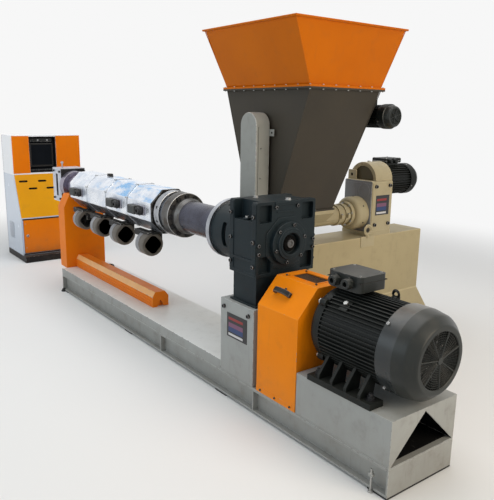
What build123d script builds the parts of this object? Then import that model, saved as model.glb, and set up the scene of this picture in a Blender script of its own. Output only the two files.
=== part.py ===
from build123d import *
import math
import os

# Granulating machine: a screw extruder line with a side feeder, hopper and control cabinet.
# Millimetres. +X runs along the barrel axis towards the main motor, +Y towards the feeder, +Z up.
# The origin is on the floor, under the middle of the skid's pad at the die end.

os.makedirs("parts", exist_ok=True)

# Running gap left where two curved faces meet
seat_gap = 0.3

# Skid
skid_length = 4090.0
skid_width = 484.0
pad_length = 120.0
pad_height = 10.0
rail_height = 145.0
rail_flange_width = 80.0
rail_flange_thickness = 12.0
rail_web = 10.0
rail_web_inset = 38.0
end_plate_thickness = 10.0
cross_member_width = 60.0
cross_member_places = (760.0, 1660.0, 2560.0, 3460.0)
deck_thickness = 8.0
stiffener_thickness = 10.0
stiffener_places = (1903.0, 3008.0)

# Bed, pedestal and plinth
bed_length = 2740.0
bed_height = 68.0
sheet = 8.0
pedestal_length = 330.0
pedestal_height = 471.0
plinth_length = 641.0
plinth_height = 233.0
plinth_rim = 16.0
plinth_corner = 10.0

# Barrel
axis_height = 1000.0
die_block_left = -510.0
die_block_length = 220.0
die_block_width = 250.0
die_block_height = 330.0
die_bore_radius = 45.0
die_outlet_radius = 40.0
die_bolt_radius = 8.5
die_bolt_depth = 40.0
die_bolt_margin = 34.0
die_slot_depth = 20.0
die_slot_width = 53.0
die_slot_height = 218.0
die_flange_length = 90.0
die_flange_radius = 142.0
neck_radius = 104.0
cladding_start = 55.0
zone_length = 400.0
zone_gap = 4.0
zone_count = 4
cladding_flats = 334.0
clamp_ring_start = 1690.0
clamp_ring_length = 70.0
clamp_ring_radius = 164.0
barrel_flange_start = 1800.0
barrel_flange_length = 90.0
barrel_flange_radius = 162.0
feed_tube_start = 1960.0
feed_tube_radius = 113.0
feed_tube_bore = 60.0
screw_radius = 45.0
lantern_ring_start = 2432.0
lantern_ring_length = 36.0
lantern_ring_radius = 192.0
lantern_radius = 178.0
lantern_wall = 22.0
lantern_window_margin = 40.0
lantern_window_width = 150.0
lantern_slot_setback = 120.0
lantern_slot_length = 40.0

# Blowers under the barrel
blower_radius = 90.0
blower_length = 130.0
blower_axis_y = -117.0
blower_drop = 257.0
blower_mouth = 100.0
blower_mouth_depth = 90.0
blower_mouth_round = 30.0
blower_duct_width = 90.0
blower_duct_length = 110.0
blower_end_shift = 70.0
connector_height = 72.0
connector_length = 200.0
connector_depth = 50.0
bare_zone_count = 1

# Barrel support and cable duct on the bed
support_left = -195.0
support_length = 155.0
support_width = 400.0
support_crown = 60.0
support_crown_width = 280.0
support_slope = 120.0
duct_end = 1532.0
duct_near = -101.0
duct_width = 143.0
duct_height = 122.0
duct_shoulder = 40.0
duct_near_slope = 24.0
duct_far_slope = 32.0
duct_notch = 24.0
duct_notch_width = 58.0
duct_notch_height = 55.0

# Main gearbox
gearbox_start = 2737.0
gearbox_width = 440.0
gearbox_length = 256.0
gearbox_height = 611.0
gearbox_waist_height = 181.0
gearbox_waist_inset = 18.0
gearbox_pocket_width = 90.0
gearbox_pocket_height = 100.0
gearbox_pocket_depth = 34.0
gearbox_pocket_margin = 18.0
gearbox_pocket_round = 10.0
gearbox_edge = 12.0
gearbox_notch_ear = 44.0
gearbox_notch_depth = 58.0
gearbox_notch_height = 112.0
end_cap_radius = 126.0
end_cap_length = 47.0
end_cap_bore = 62.0
end_cap_bore_depth = 34.0
end_cap_step = 14.0

# Coupling and its guard
guard_gap = 36.0
guard_length = 337.0
guard_side_height = 523.0
guard_height = 674.0
guard_top_width = 214.0
guard_sheet = 5.0
guard_hole_clearance = 12.0
guard_window_length = 204.0
guard_window_width = 116.0
guard_window_lip = 12.0
mesh_thickness = 3.0
coupling_radius = 96.0
coupling_length = 180.0
coupling_shaft_radius = 35.0
input_boss_radius = 90.0

# Main motor
motor_shaft_height = 250.0
motor_gap = 37.0
motor_bell_length = 76.0
motor_bell_radius = 205.0
motor_bell_round = 43.0
motor_frame_length = 388.0
motor_frame_radius = 196.0
motor_fin_height = 16.0
motor_fin_count = 60
motor_fin_thickness = 6.0
motor_fin_root = 4.0
fan_cover_length = 200.0
fan_cover_radius = 221.0
fan_cover_end_radius = 168.0
fan_cover_nose = 46.0
fan_cover_shoulder = 110.0
fan_cover_shoulder_drop = 12.0
foot_spacing = 406.0
foot_width = 92.0
foot_thickness = 30.0
foot_hole_radius = 12.0
foot_hole_margin = 38.0
foot_length = 426.0
foot_rib_thickness = 18.0
foot_rib_toe = 20.0
foot_rib_margin = 4.0
foot_rib_drop = 100.0
foot_rib_count = 4
foot_rib_pitch = 92.0
terminal_box_length = 228.0
terminal_box_width = 196.0
terminal_box_height = 96.0
terminal_box_overhang = 56.0
terminal_box_neck = 14.0
terminal_box_neck_inset = 32.0
terminal_box_round = 26.0
gland_radius = 26.0
gland_bore = 14.0
gland_length = 40.0
gland_spacing = 90.0
gland_rise = 55.0

# Side feeder
feeder_x = 2294.0
feeder_axis_rise = 174.0
feeder_base_near = 300.0
feeder_base_length = 1685.0
feeder_base_width = 292.0
feeder_base_height = 794.0
feeder_foot_height = 284.0
feeder_foot_width = 730.0
feeder_plate_thickness = 29.0
feeder_gearbox_near = 1342.0
feeder_gearbox_depth = 236.0
feeder_gearbox_height = 403.0
feeder_gearbox_edge = 12.0
feeder_bell_radius = 140.0
feeder_bell_wall = 30.0
feeder_bell_setback = 44.0
feeder_bell_back = 24.0
feeder_motor_radius = 125.0
feeder_motor_length = 365.0
feeder_motor_fan_length = 110.0
feeder_motor_drop = 12.0
feeder_cowl_lip = 6.0
feeder_cowl_taper = 8.0
feeder_box_shift = 30.0
feeder_box_setback = 20.0
feeder_box_length = 190.0
feeder_box_width = 150.0
feeder_box_height = 90.0
drum_radius = 130.0
drum_length = 122.0
drum_round = 34.0
drum_flange_radius = 92.0
drum_flange_length = 26.0
trough_radius = 75.0
trough_wall = 6.0
trough_lip = 24.0
trough_throat_width = 120.0
trough_throat_rise = 37.5
feeder_screw_radius = 30.0

# Hopper
hopper_y = 700.0
hopper_wall = 4.0
hopper_mouth_length = 971.0
hopper_mouth_width = 984.0
hopper_top = 2297.0
hopper_mid_length = 889.0
hopper_mid_width = 646.0
hopper_mid_height = 1896.0
hopper_outlet_length = 290.0
hopper_outlet_width = 544.0
hopper_outlet_y = 640.0
hopper_outlet_flange = 14.0
hopper_flange_width = 22.0
hopper_flange_thickness = 12.0
hopper_rim_width = 14.0

# Agitator drive and its chain guard
agitator_height = 1647.0
agitator_motor_rise = 73.0
agitator_shaft_radius = 20.0
agitator_gearbox_width = 200.0
agitator_gearbox_height = 340.0
agitator_gearbox_depth = 150.0
agitator_gearbox_round = 20.0
agitator_motor_radius = 86.0
agitator_motor_clearance = 36.0
agitator_motor_length = 392.0
agitator_arm_length = 150.0
agitator_arm_width = 30.0
agitator_arm_thickness = 10.0
agitator_arm_count = 3
chain_guard_width = 176.0
chain_guard_depth = 116.0

# Control cabinet
cabinet_back = -2000.0
cabinet_near = -205.0
cabinet_width = 805.0
cabinet_plinth_front = -1330.0
cabinet_plinth_height = 72.0
cabinet_front = -1425.0
cabinet_door_height = 384.0
cabinet_desk_height = 500.0
cabinet_top_front = -1600.0
cabinet_height = 1437.0
cabinet_head_height = 440.0
cabinet_sheet = 12.0
door_gap = 5.0
door_thickness = 20.0
door_side_margin = 26.0
hinge_radius = 8.0
hinge_pin_radius = 4.0
hinge_clearance = 0.05
hinge_height = 50.0
hinge_rises = (60.0, 288.0)
hinge_standoff = 1.0
hinge_strap = 3.0
hinge_strap_reach = 22.0
screen_left = 197.0
screen_width = 313.0
screen_height = 416.0
screen_recess = 70.0
screen_glass = 8.0

# Places worked out from the sizes above
skid_left = -pad_length / 2
skid_right = skid_left + skid_length
half_skid = skid_width / 2
rail_top = pad_height + rail_height
deck_top = rail_top + deck_thickness
bed_right = skid_left + bed_length
bed_top = rail_top + bed_height
pedestal_right = bed_right + pedestal_length
pedestal_top = deck_top + pedestal_height
plinth_left = skid_right - plinth_length
plinth_top = deck_top + plinth_height
motor_axis_height = plinth_top + motor_shaft_height
guard_left = pedestal_right + guard_gap
guard_right = guard_left + guard_length
die_block_right = die_block_left + die_block_length
die_flange_right = die_block_right + die_flange_length
gearbox_right = gearbox_start + gearbox_length
gearbox_top = pedestal_top + gearbox_height
motor_left = guard_right + motor_gap
motor_frame_left = motor_left + motor_bell_length
fan_cover_left = motor_frame_left + motor_frame_length
fan_cover_right = fan_cover_left + fan_cover_length
feeder_axis_height = feeder_base_height + feeder_axis_rise
feeder_plate_top = feeder_base_height + feeder_plate_thickness
feeder_gearbox_far = feeder_gearbox_near + feeder_gearbox_depth
feeder_gearbox_top = feeder_plate_top + feeder_gearbox_height
feeder_motor_axis_height = feeder_gearbox_top - feeder_motor_drop
trough_top = feeder_axis_height + trough_radius


def keep(piece, node):
    # One file per piece, named as its node
    piece.label = node
    export_step(piece, f"parts/{node}.step")


# Skid: two flanged rails on pads, tied by cross members and closed by end plates
with BuildPart() as rails:
    rail_middle_z = pad_height + rail_height / 2
    web_height = rail_height - 2 * rail_flange_thickness
    inner_hollow = rail_flange_width - rail_web_inset - rail_web
    with BuildSketch(Plane.YZ.offset(skid_left + end_plate_thickness)):
        for side in (-1, 1):
            with Locations((side * (half_skid - rail_flange_width / 2), rail_middle_z)):
                Rectangle(rail_flange_width, rail_height)
            with Locations((side * (half_skid - rail_web_inset / 2), rail_middle_z)):
                Rectangle(rail_web_inset, web_height, mode=Mode.SUBTRACT)
            with Locations((side * (half_skid - rail_flange_width + inner_hollow / 2), rail_middle_z)):
                Rectangle(inner_hollow, web_height, mode=Mode.SUBTRACT)
    extrude(amount=skid_length - 2 * end_plate_thickness)
    # Web stiffeners, between the outer flanges
    for place in stiffener_places:
        with BuildSketch(Plane.YZ.offset(place)):
            for side in (-1, 1):
                with Locations((side * (half_skid - rail_web_inset / 2), rail_middle_z)):
                    Rectangle(rail_web_inset, web_height)
        extrude(amount=stiffener_thickness)
keep(rails.part, "skid_rails")

member_span = skid_width - 2 * rail_flange_width
with BuildPart() as members:
    for place in cross_member_places:
        with BuildSketch(Plane.YZ.offset(place)):
            with Locations((0, pad_height + rail_height / 2)):
                Rectangle(member_span, rail_height)
        extrude(amount=cross_member_width)
    for place in (skid_left, skid_right - end_plate_thickness):
        with BuildSketch(Plane.YZ.offset(place)):
            with Locations((0, pad_height + rail_height / 2)):
                Rectangle(skid_width, rail_height)
        extrude(amount=end_plate_thickness)
keep(members.part, "skid_cross_members")

pad_centres = (0, bed_length / 2, bed_right, skid_right - pad_length / 2)
with BuildPart() as pads:
    with BuildSketch(Plane.XY):
        for centre in pad_centres:
            with Locations((centre, 0)):
                Rectangle(pad_length, skid_width)
    extrude(amount=pad_height)
keep(pads.part, "levelling_pads")

with BuildPart() as deck:
    with BuildSketch(Plane.XY.offset(rail_top)):
        with Locations(((bed_right + skid_right) / 2, 0)):
            Rectangle(skid_right - bed_right, skid_width)
    extrude(amount=deck_thickness)
keep(deck.part, "deck_plate")


# Folded sheet box, open underneath
def folded_box(left, right, low, high):
    with BuildPart() as box:
        with BuildSketch(Plane.XY.offset(low)):
            with Locations(((left + right) / 2, 0)):
                Rectangle(right - left, skid_width)
        extrude(amount=high - low)
        with BuildSketch(Plane.XY.offset(low)):
            with Locations(((left + right) / 2, 0)):
                Rectangle(right - left - 2 * sheet, skid_width - 2 * sheet)
        extrude(amount=high - low - sheet, mode=Mode.SUBTRACT)
    return box.part


keep(folded_box(skid_left, bed_right, rail_top, bed_top), "bed_box")
keep(folded_box(bed_right, pedestal_right, deck_top, pedestal_top), "gearbox_pedestal")

with BuildPart() as plinth:
    add(folded_box(plinth_left, skid_right, deck_top, plinth_top))
    with BuildSketch(Plane.YZ.offset(skid_right - sheet)):
        with BuildLine():
            Polyline(
                (-half_skid + plinth_corner, deck_top),
                (half_skid - plinth_corner, deck_top),
                (0, plinth_top - plinth_rim),
                close=True,
            )
        make_face()
    extrude(amount=sheet, mode=Mode.SUBTRACT)
keep(plinth.part, "motor_plinth")

# Barrel: core, neck and screw shank
with BuildPart() as core:
    with BuildSketch(Plane.YZ.offset(die_flange_right)):
        with Locations((0, axis_height)):
            Circle(neck_radius)
            Circle(die_bore_radius, mode=Mode.SUBTRACT)
    extrude(amount=feed_tube_start - die_flange_right)
keep(core.part, "barrel_core")


# Eight-sided cladding, one length for each heating zone
with BuildPart() as cladding:
    for zone in range(zone_count):
        with BuildSketch(Plane.YZ.offset(cladding_start + zone * zone_length)):
            with Locations((0, axis_height)):
                RegularPolygon(cladding_flats / 2, 8, major_radius=False, rotation=180 / 8)
                Circle(neck_radius + seat_gap, mode=Mode.SUBTRACT)
        extrude(amount=zone_length - zone_gap)
keep(cladding.part, "cladding")


def ring(left, length, outer, inner):
    with BuildPart() as disc:
        with BuildSketch(Plane.YZ.offset(left)):
            with Locations((0, axis_height)):
                Circle(outer)
                Circle(inner, mode=Mode.SUBTRACT)
        extrude(amount=length)
    return disc.part


neck_clearance = neck_radius + seat_gap
feed_tube_length = lantern_ring_start - feed_tube_start
keep(ring(clamp_ring_start, clamp_ring_length, clamp_ring_radius, neck_clearance), "barrel_clamp_ring")
keep(ring(barrel_flange_start, barrel_flange_length, barrel_flange_radius, neck_clearance), "barrel_flange")
keep(ring(feed_tube_start, feed_tube_length, feed_tube_radius, feed_tube_bore), "feed_tube")
keep(ring(die_block_right, die_flange_length, die_flange_radius, die_bore_radius), "die_flange")

lantern_left = lantern_ring_start + lantern_ring_length
lantern_length = gearbox_start - lantern_left
with BuildPart() as lantern:
    add(ring(lantern_ring_start, lantern_ring_length, lantern_ring_radius, feed_tube_bore))
    with BuildSketch(Plane.YZ.offset(lantern_left)):
        with Locations((0, axis_height)):
            Circle(lantern_radius)
            Circle(lantern_radius - lantern_wall, mode=Mode.SUBTRACT)
    extrude(amount=lantern_length)
    window_length = lantern_length - 2 * lantern_window_margin
    window_x = lantern_left + lantern_length / 2
    slot_x = lantern_left + lantern_slot_setback + lantern_slot_length / 2
    with BuildSketch(Plane.XY.offset(axis_height - lantern_radius)):
        with Locations((window_x, 0)):
            Rectangle(window_length, lantern_window_width)
    extrude(amount=2 * lantern_radius, mode=Mode.SUBTRACT)
    with BuildSketch(Plane.XZ.offset(-lantern_radius)):
        with Locations((slot_x, axis_height)):
            Rectangle(lantern_slot_length, lantern_window_width)
    extrude(amount=2 * lantern_radius, mode=Mode.SUBTRACT)
keep(lantern.part, "lantern")

with BuildPart() as shank:
    with BuildSketch(Plane.YZ.offset(feed_tube_start)):
        with Locations((0, axis_height)):
            Circle(screw_radius)
    extrude(amount=gearbox_start - feed_tube_start)
keep(shank.part, "screw_shank")

# Die block with its slot towards the near side and the outlet bore at the free end
die_bolt_across = die_block_width - 2 * die_bolt_margin
die_bolt_up = die_block_height - 2 * die_bolt_margin
with BuildPart() as die:
    with BuildSketch(Plane.YZ.offset(die_block_left)):
        with Locations((0, axis_height)):
            Rectangle(die_block_width, die_block_height)
            Circle(die_outlet_radius, mode=Mode.SUBTRACT)
    extrude(amount=die_block_length)
    with BuildSketch(Plane.YZ.offset(die_block_left)):
        with Locations((0, axis_height)):
            with GridLocations(die_bolt_across, die_bolt_up, 2, 2):
                Circle(die_bolt_radius)
    extrude(amount=die_bolt_depth, mode=Mode.SUBTRACT)
    with BuildSketch(Plane.XZ.offset(die_block_width / 2)):
        with Locations((die_block_left + die_block_length / 2, axis_height)):
            Rectangle(die_slot_width, die_slot_height)
    extrude(amount=-die_slot_depth, mode=Mode.SUBTRACT)
keep(die.part, "die_block")


# Blowers: a round housing for each zone, on the duct that feeds air into the cladding
cladding_bottom = axis_height - cladding_flats / 2
blower_axis_z = axis_height - blower_drop
with BuildPart() as blowers:
    for zone in range(zone_count):
        # The blower next to the feed tube sits off the middle of its zone
        shift = blower_end_shift if zone == zone_count - 1 else 0
        centre_x = cladding_start + (zone + 0.5) * zone_length + shift
        blower_front = Plane.YZ.offset(centre_x + blower_length / 2)
        with BuildSketch(blower_front):
            with Locations((blower_axis_y, blower_axis_z)):
                Circle(blower_radius)
        extrude(amount=-blower_length)
        with BuildSketch(Plane.XY.offset(blower_axis_z)):
            with Locations((centre_x, blower_axis_y + blower_duct_width / 2)):
                Rectangle(blower_duct_length, blower_duct_width)
        extrude(amount=cladding_bottom - blower_axis_z)
        with BuildSketch(blower_front):
            with Locations((blower_axis_y, blower_axis_z)):
                RectangleRounded(blower_mouth, blower_mouth, blower_mouth_round)
        extrude(amount=-blower_mouth_depth, mode=Mode.SUBTRACT)
keep(blowers.part, "blowers")

with BuildPart() as connectors:
    for zone in (0, *range(1 + bare_zone_count, zone_count)):
        with BuildSketch(Plane.XZ.offset(cladding_flats / 2)):
            with Locations((cladding_start + (zone + 0.5) * zone_length, axis_height)):
                Rectangle(connector_length, connector_height)
        extrude(amount=connector_depth)
keep(connectors.part, "connector_boxes")

# Barrel support: folded cradle cut out round the neck
support_right = support_left + support_length
support_middle = (support_left + support_right) / 2
support_top = axis_height - support_crown
support_shoulder = support_top - support_slope
with BuildPart() as support:
    with BuildSketch(Plane.YZ.offset(support_left)):
        with BuildLine():
            Polyline(
                (-support_width / 2, bed_top),
                (support_width / 2, bed_top),
                (support_width / 2, support_shoulder),
                (support_crown_width / 2, support_top),
                (-support_crown_width / 2, support_top),
                (-support_width / 2, support_shoulder),
                close=True,
            )
        make_face()
    extrude(amount=support_length)
    with BuildSketch(Plane.XY.offset(bed_top)):
        with Locations((support_middle, 0)):
            Rectangle(support_length - 2 * sheet, support_width - 2 * sheet)
    extrude(amount=support_shoulder - bed_top - sheet, mode=Mode.SUBTRACT)
    with BuildSketch(Plane.YZ.offset(support_left)):
        with Locations((0, axis_height)):
            Circle(neck_radius + seat_gap)
    extrude(amount=support_length, mode=Mode.SUBTRACT)
keep(support.part, "barrel_support")

# Cable duct: folded cover with a chamfered top along the bed
duct_far = duct_near + duct_width
duct_middle = duct_near + duct_width / 2
with BuildPart() as duct:
    with BuildSketch(Plane.YZ.offset(support_right)):
        with BuildLine():
            Polyline(
                (duct_near, bed_top),
                (duct_far, bed_top),
                (duct_far, bed_top + duct_height - duct_shoulder),
                (duct_far - duct_far_slope, bed_top + duct_height),
                (duct_near + duct_near_slope, bed_top + duct_height),
                (duct_near, bed_top + duct_height - duct_shoulder),
                close=True,
            )
        make_face()
    extrude(amount=duct_end - support_right)
    with BuildSketch(Plane.YZ.offset(duct_end - duct_notch)):
        with BuildLine():
            Polyline(
                (duct_middle - duct_notch_width / 2, bed_top),
                (duct_middle + duct_notch_width / 2, bed_top),
                (duct_middle, bed_top + duct_notch_height),
                close=True,
            )
        make_face()
    extrude(amount=duct_notch, mode=Mode.SUBTRACT)
keep(duct.part, "cable_duct")

# Main gearbox: cast case with corner ears and pockets
with BuildPart() as gearbox:
    waist_top = pedestal_top + gearbox_waist_height
    with BuildSketch(Plane.XY.offset(pedestal_top)):
        with Locations(((gearbox_start + gearbox_right) / 2, 0)):
            Rectangle(gearbox_length - 2 * gearbox_waist_inset, gearbox_width - 2 * gearbox_waist_inset)
    extrude(amount=gearbox_waist_height)
    with BuildSketch(Plane.XY.offset(waist_top)):
        with Locations(((gearbox_start + gearbox_right) / 2, 0)):
            Rectangle(gearbox_length, gearbox_width)
    extrude(amount=gearbox_top - waist_top)
    fillet(gearbox.edges().filter_by(Axis.X).group_by(Axis.Z)[-1], gearbox_edge)
    # Notches between the ears, along both upper sides
    notch_y = (gearbox_width - gearbox_notch_depth) / 2
    with BuildSketch(Plane.XY.offset(gearbox_top)):
        for side in (-1, 1):
            with Locations(((gearbox_start + gearbox_right) / 2, side * notch_y)):
                Rectangle(gearbox_length - 2 * gearbox_notch_ear, gearbox_notch_depth)
    extrude(amount=-gearbox_notch_height, mode=Mode.SUBTRACT)
    pocket_in = gearbox_pocket_margin + gearbox_pocket_width / 2
    pocket_up = gearbox_pocket_margin + gearbox_pocket_height / 2
    with BuildSketch(Plane.YZ.offset(gearbox_right)):
        for side in (-1, 1):
            for level in (waist_top + pocket_up, gearbox_top - pocket_up):
                with Locations((side * (gearbox_width / 2 - pocket_in), level)):
                    RectangleRounded(gearbox_pocket_width, gearbox_pocket_height, gearbox_pocket_round)
    extrude(amount=-gearbox_pocket_depth, mode=Mode.SUBTRACT)
keep(gearbox.part, "gearbox_case")

with BuildPart() as cap:
    with BuildSketch(Plane.YZ.offset(gearbox_right)):
        with Locations((0, axis_height)):
            Circle(end_cap_radius)
    extrude(amount=end_cap_length - end_cap_step)
    with BuildSketch(Plane.YZ.offset(gearbox_right + end_cap_length - end_cap_step)):
        with Locations((0, axis_height)):
            Circle((end_cap_radius + end_cap_bore) / 2)
    extrude(amount=end_cap_step)
    with BuildSketch(Plane.YZ.offset(gearbox_right + end_cap_length)):
        with Locations((0, axis_height)):
            Circle(end_cap_bore)
    extrude(amount=-end_cap_bore_depth, mode=Mode.SUBTRACT)
keep(cap.part, "gearbox_end_cap")

# Coupling between the motor and the gearbox's input boss
coupling_start = guard_left + (guard_length - coupling_length) / 2
with BuildPart() as coupling:
    with BuildSketch(Plane.YZ.offset(pedestal_right)):
        with Locations((0, motor_axis_height)):
            Circle(input_boss_radius)
    extrude(amount=guard_gap / 2)
    with BuildSketch(Plane.YZ.offset(pedestal_right)):
        with Locations((0, motor_axis_height)):
            Circle(coupling_shaft_radius)
    extrude(amount=motor_left - pedestal_right)
    with BuildSketch(Plane.YZ.offset(coupling_start)):
        with Locations((0, motor_axis_height)):
            Circle(coupling_radius)
    extrude(amount=coupling_length)
keep(coupling.part, "coupling")


def guard_profile(inset):
    # Cross-section of the guard: upright sides and a roof with sloping shoulders
    side = half_skid - inset
    top = guard_top_width / 2 - inset / 2
    Polyline(
        (-side, deck_top),
        (side, deck_top),
        (side, deck_top + guard_side_height - inset / 2),
        (top, deck_top + guard_height - inset),
        (-top, deck_top + guard_height - inset),
        (-side, deck_top + guard_side_height - inset / 2),
        close=True,
    )


guard_middle = (guard_left + guard_right) / 2
with BuildPart() as guard:
    with BuildSketch(Plane.YZ.offset(guard_left)):
        with BuildLine():
            guard_profile(0)
        make_face()
    extrude(amount=guard_length)
    with BuildSketch(Plane.YZ.offset(guard_left + guard_sheet)):
        with BuildLine():
            guard_profile(guard_sheet)
        make_face()
    extrude(amount=guard_length - 2 * guard_sheet, mode=Mode.SUBTRACT)
    with BuildSketch(Plane.YZ.offset(guard_left)):
        with Locations((0, motor_axis_height)):
            Circle(coupling_shaft_radius + guard_hole_clearance)
    extrude(amount=guard_length, mode=Mode.SUBTRACT)
    with BuildSketch(Plane.XY.offset(deck_top + guard_height)):
        with Locations((guard_middle, 0)):
            Rectangle(guard_window_length, guard_window_width)
    extrude(amount=-2 * guard_sheet, mode=Mode.SUBTRACT)
keep(guard.part, "coupling_guard")

with BuildPart() as mesh:
    with BuildSketch(Plane.XY.offset(deck_top + guard_height - guard_sheet)):
        with Locations((guard_middle, 0)):
            Rectangle(guard_window_length + 2 * guard_window_lip, guard_window_width + 2 * guard_window_lip)
    extrude(amount=-mesh_thickness)
keep(mesh.part, "guard_mesh")


# Main motor: end bell, finned frame on feet, fan cover and terminal box
def motor_disc(left, length, radius):
    with BuildPart() as disc:
        with BuildSketch(Plane.YZ.offset(left)):
            with Locations((0, motor_axis_height)):
                Circle(radius)
        extrude(amount=length)
    return disc.part


with BuildPart() as bell:
    add(motor_disc(motor_left, motor_bell_length, motor_bell_radius))
    fillet(bell.edges().filter_by(GeomType.CIRCLE).group_by(Axis.X)[0], motor_bell_round)
keep(bell.part, "motor_end_bell")

foot_middle = motor_frame_left + motor_frame_length / 2
foot_top = plinth_top + foot_thickness
foot_outer = foot_spacing / 2 + foot_width / 2
foot_inner = foot_spacing / 2 - foot_width / 2
rib_root = motor_frame_radius / math.sqrt(2)
rib_reach = math.sqrt(motor_frame_radius**2 - foot_rib_drop**2)
fin_middle = motor_frame_radius + (motor_fin_height - motor_fin_root) / 2
with BuildPart() as frame:
    with BuildSketch(Plane.YZ.offset(motor_frame_left)):
        with Locations((0, motor_axis_height)):
            Circle(motor_frame_radius)
            with PolarLocations(fin_middle, motor_fin_count):
                Rectangle(motor_fin_height + motor_fin_root, motor_fin_thickness)
    extrude(amount=motor_frame_length)
    with BuildSketch(Plane.XY.offset(plinth_top)):
        for side in (-1, 1):
            with Locations((foot_middle, side * foot_spacing / 2)):
                Rectangle(foot_length, foot_width)
    extrude(amount=foot_thickness)
    for rib in range(foot_rib_count):
        rib_x = foot_middle + (rib - (foot_rib_count - 1) / 2) * foot_rib_pitch
        with BuildSketch(Plane.YZ.offset(rib_x - foot_rib_thickness / 2)):
            for side in (-1, 1):
                with BuildLine():
                    Polyline(
                        (side * (foot_outer - foot_rib_margin), plinth_top),
                        (side * (foot_outer - foot_rib_margin), foot_top + foot_rib_toe),
                        (side * rib_reach, motor_axis_height - foot_rib_drop),
                        (side * rib_root, motor_axis_height - rib_root),
                        (side * foot_inner, plinth_top),
                        close=True,
                    )
                make_face()
        extrude(amount=foot_rib_thickness)
    with BuildSketch(Plane.XY.offset(foot_top)):
        with Locations((foot_middle, 0)):
            with GridLocations(foot_length - 2 * foot_hole_margin, foot_spacing, 2, 2):
                Circle(foot_hole_radius)
    extrude(amount=-foot_thickness, mode=Mode.SUBTRACT)
keep(frame.part, "motor_frame")

fan_cover_top = motor_axis_height + fan_cover_radius
with BuildPart() as cover:
    with BuildSketch(Plane.XZ):
        with BuildLine():
            Polyline(
                (fan_cover_left, motor_axis_height),
                (fan_cover_right, motor_axis_height),
                (fan_cover_right, motor_axis_height + fan_cover_end_radius),
                (fan_cover_right - fan_cover_nose, fan_cover_top - fan_cover_shoulder_drop),
                (fan_cover_right - fan_cover_shoulder, fan_cover_top),
                (fan_cover_left, fan_cover_top),
                close=True,
            )
        make_face()
    revolve(axis=Axis((0, 0, motor_axis_height), (1, 0, 0)))
keep(cover.part, "motor_fan_cover")

box_x = motor_frame_left + terminal_box_length / 2 - terminal_box_overhang
box_low = motor_axis_height + motor_frame_radius + motor_fin_height
with BuildPart() as box:
    with BuildSketch(Plane.XY.offset(box_low)):
        with Locations((box_x, 0)):
            neck_length = terminal_box_length - 2 * terminal_box_overhang
            Rectangle(neck_length, terminal_box_width - 2 * terminal_box_neck_inset)
    extrude(amount=terminal_box_neck)
    with BuildSketch(Plane.XY.offset(box_low + terminal_box_neck)):
        with Locations((box_x, 0)):
            RectangleRounded(terminal_box_length, terminal_box_width, terminal_box_round)
    extrude(amount=terminal_box_height - terminal_box_neck)
    with BuildSketch(Plane.XZ.offset(terminal_box_width / 2)):
        with Locations((box_x, box_low + gland_rise)):
            with GridLocations(gland_spacing, 1, 2, 1):
                Circle(gland_radius)
    extrude(amount=gland_length)
    with BuildSketch(Plane.XZ.offset(terminal_box_width / 2 + gland_length)):
        with Locations((box_x, box_low + gland_rise)):
            with GridLocations(gland_spacing, 1, 2, 1):
                Circle(gland_bore)
    extrude(amount=-gland_length, mode=Mode.SUBTRACT)
keep(box.part, "terminal_box")

# Side feeder on its own base
with BuildPart() as base:
    with BuildSketch(Plane.XZ.offset(-feeder_base_near)):
        with BuildLine():
            Polyline(
                (feeder_x - feeder_foot_width / 2, 0),
                (feeder_x + feeder_foot_width / 2, 0),
                (feeder_x + feeder_base_width / 2, feeder_foot_height),
                (feeder_x + feeder_base_width / 2, feeder_base_height),
                (feeder_x - feeder_base_width / 2, feeder_base_height),
                (feeder_x - feeder_base_width / 2, feeder_foot_height),
                close=True,
            )
        make_face()
    extrude(amount=-feeder_base_length)
keep(base.part, "feeder_base")

with BuildPart() as reducer:
    with BuildSketch(Plane.XY.offset(feeder_base_height)):
        with Locations((feeder_x, feeder_gearbox_near + feeder_gearbox_depth / 2)):
            Rectangle(feeder_base_width, feeder_gearbox_depth)
    extrude(amount=feeder_gearbox_top - feeder_base_height)
    fillet(reducer.edges().filter_by(Axis.Y).group_by(Axis.Z)[-1], feeder_gearbox_edge)
keep(reducer.part, "feeder_gearbox")

with BuildPart() as bell_housing:
    arch_near = feeder_gearbox_near + feeder_bell_setback
    with BuildSketch(Plane.XZ.offset(-arch_near)):
        with Locations((feeder_x, feeder_gearbox_top)):
            Circle(feeder_bell_radius)
            Circle(feeder_bell_radius - feeder_bell_wall, mode=Mode.SUBTRACT)
    extrude(amount=-(feeder_gearbox_far - arch_near))
    with BuildSketch(Plane.XZ.offset(-feeder_gearbox_far + feeder_bell_back)):
        with Locations((feeder_x, feeder_gearbox_top)):
            Circle(feeder_bell_radius - feeder_bell_wall)
    extrude(amount=-feeder_bell_back)
    split(bisect_by=Plane.XY.offset(feeder_gearbox_top), keep=Keep.TOP)
keep(bell_housing.part, "feeder_bell")

feeder_box_start = feeder_gearbox_far + feeder_box_setback
with BuildPart() as feeder_drive:
    with BuildSketch(Plane.XZ.offset(-feeder_gearbox_far)):
        with Locations((feeder_x, feeder_motor_axis_height)):
            Circle(feeder_motor_radius)
    extrude(amount=-(feeder_motor_length - feeder_motor_fan_length))
    with BuildSketch(Plane.XZ.offset(-feeder_gearbox_far - feeder_motor_length + feeder_motor_fan_length)):
        with Locations((feeder_x, feeder_motor_axis_height)):
            Circle(feeder_motor_radius + feeder_cowl_lip)
    extrude(amount=-feeder_motor_fan_length, taper=feeder_cowl_taper)
    with BuildSketch(Plane.XY.offset(feeder_motor_axis_height)):
        with Locations((feeder_x - feeder_box_shift, feeder_box_start + feeder_box_length / 2)):
            Rectangle(feeder_box_width, feeder_box_length)
    extrude(amount=feeder_motor_radius + feeder_box_height / 2)
keep(feeder_drive.part, "feeder_motor")

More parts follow.
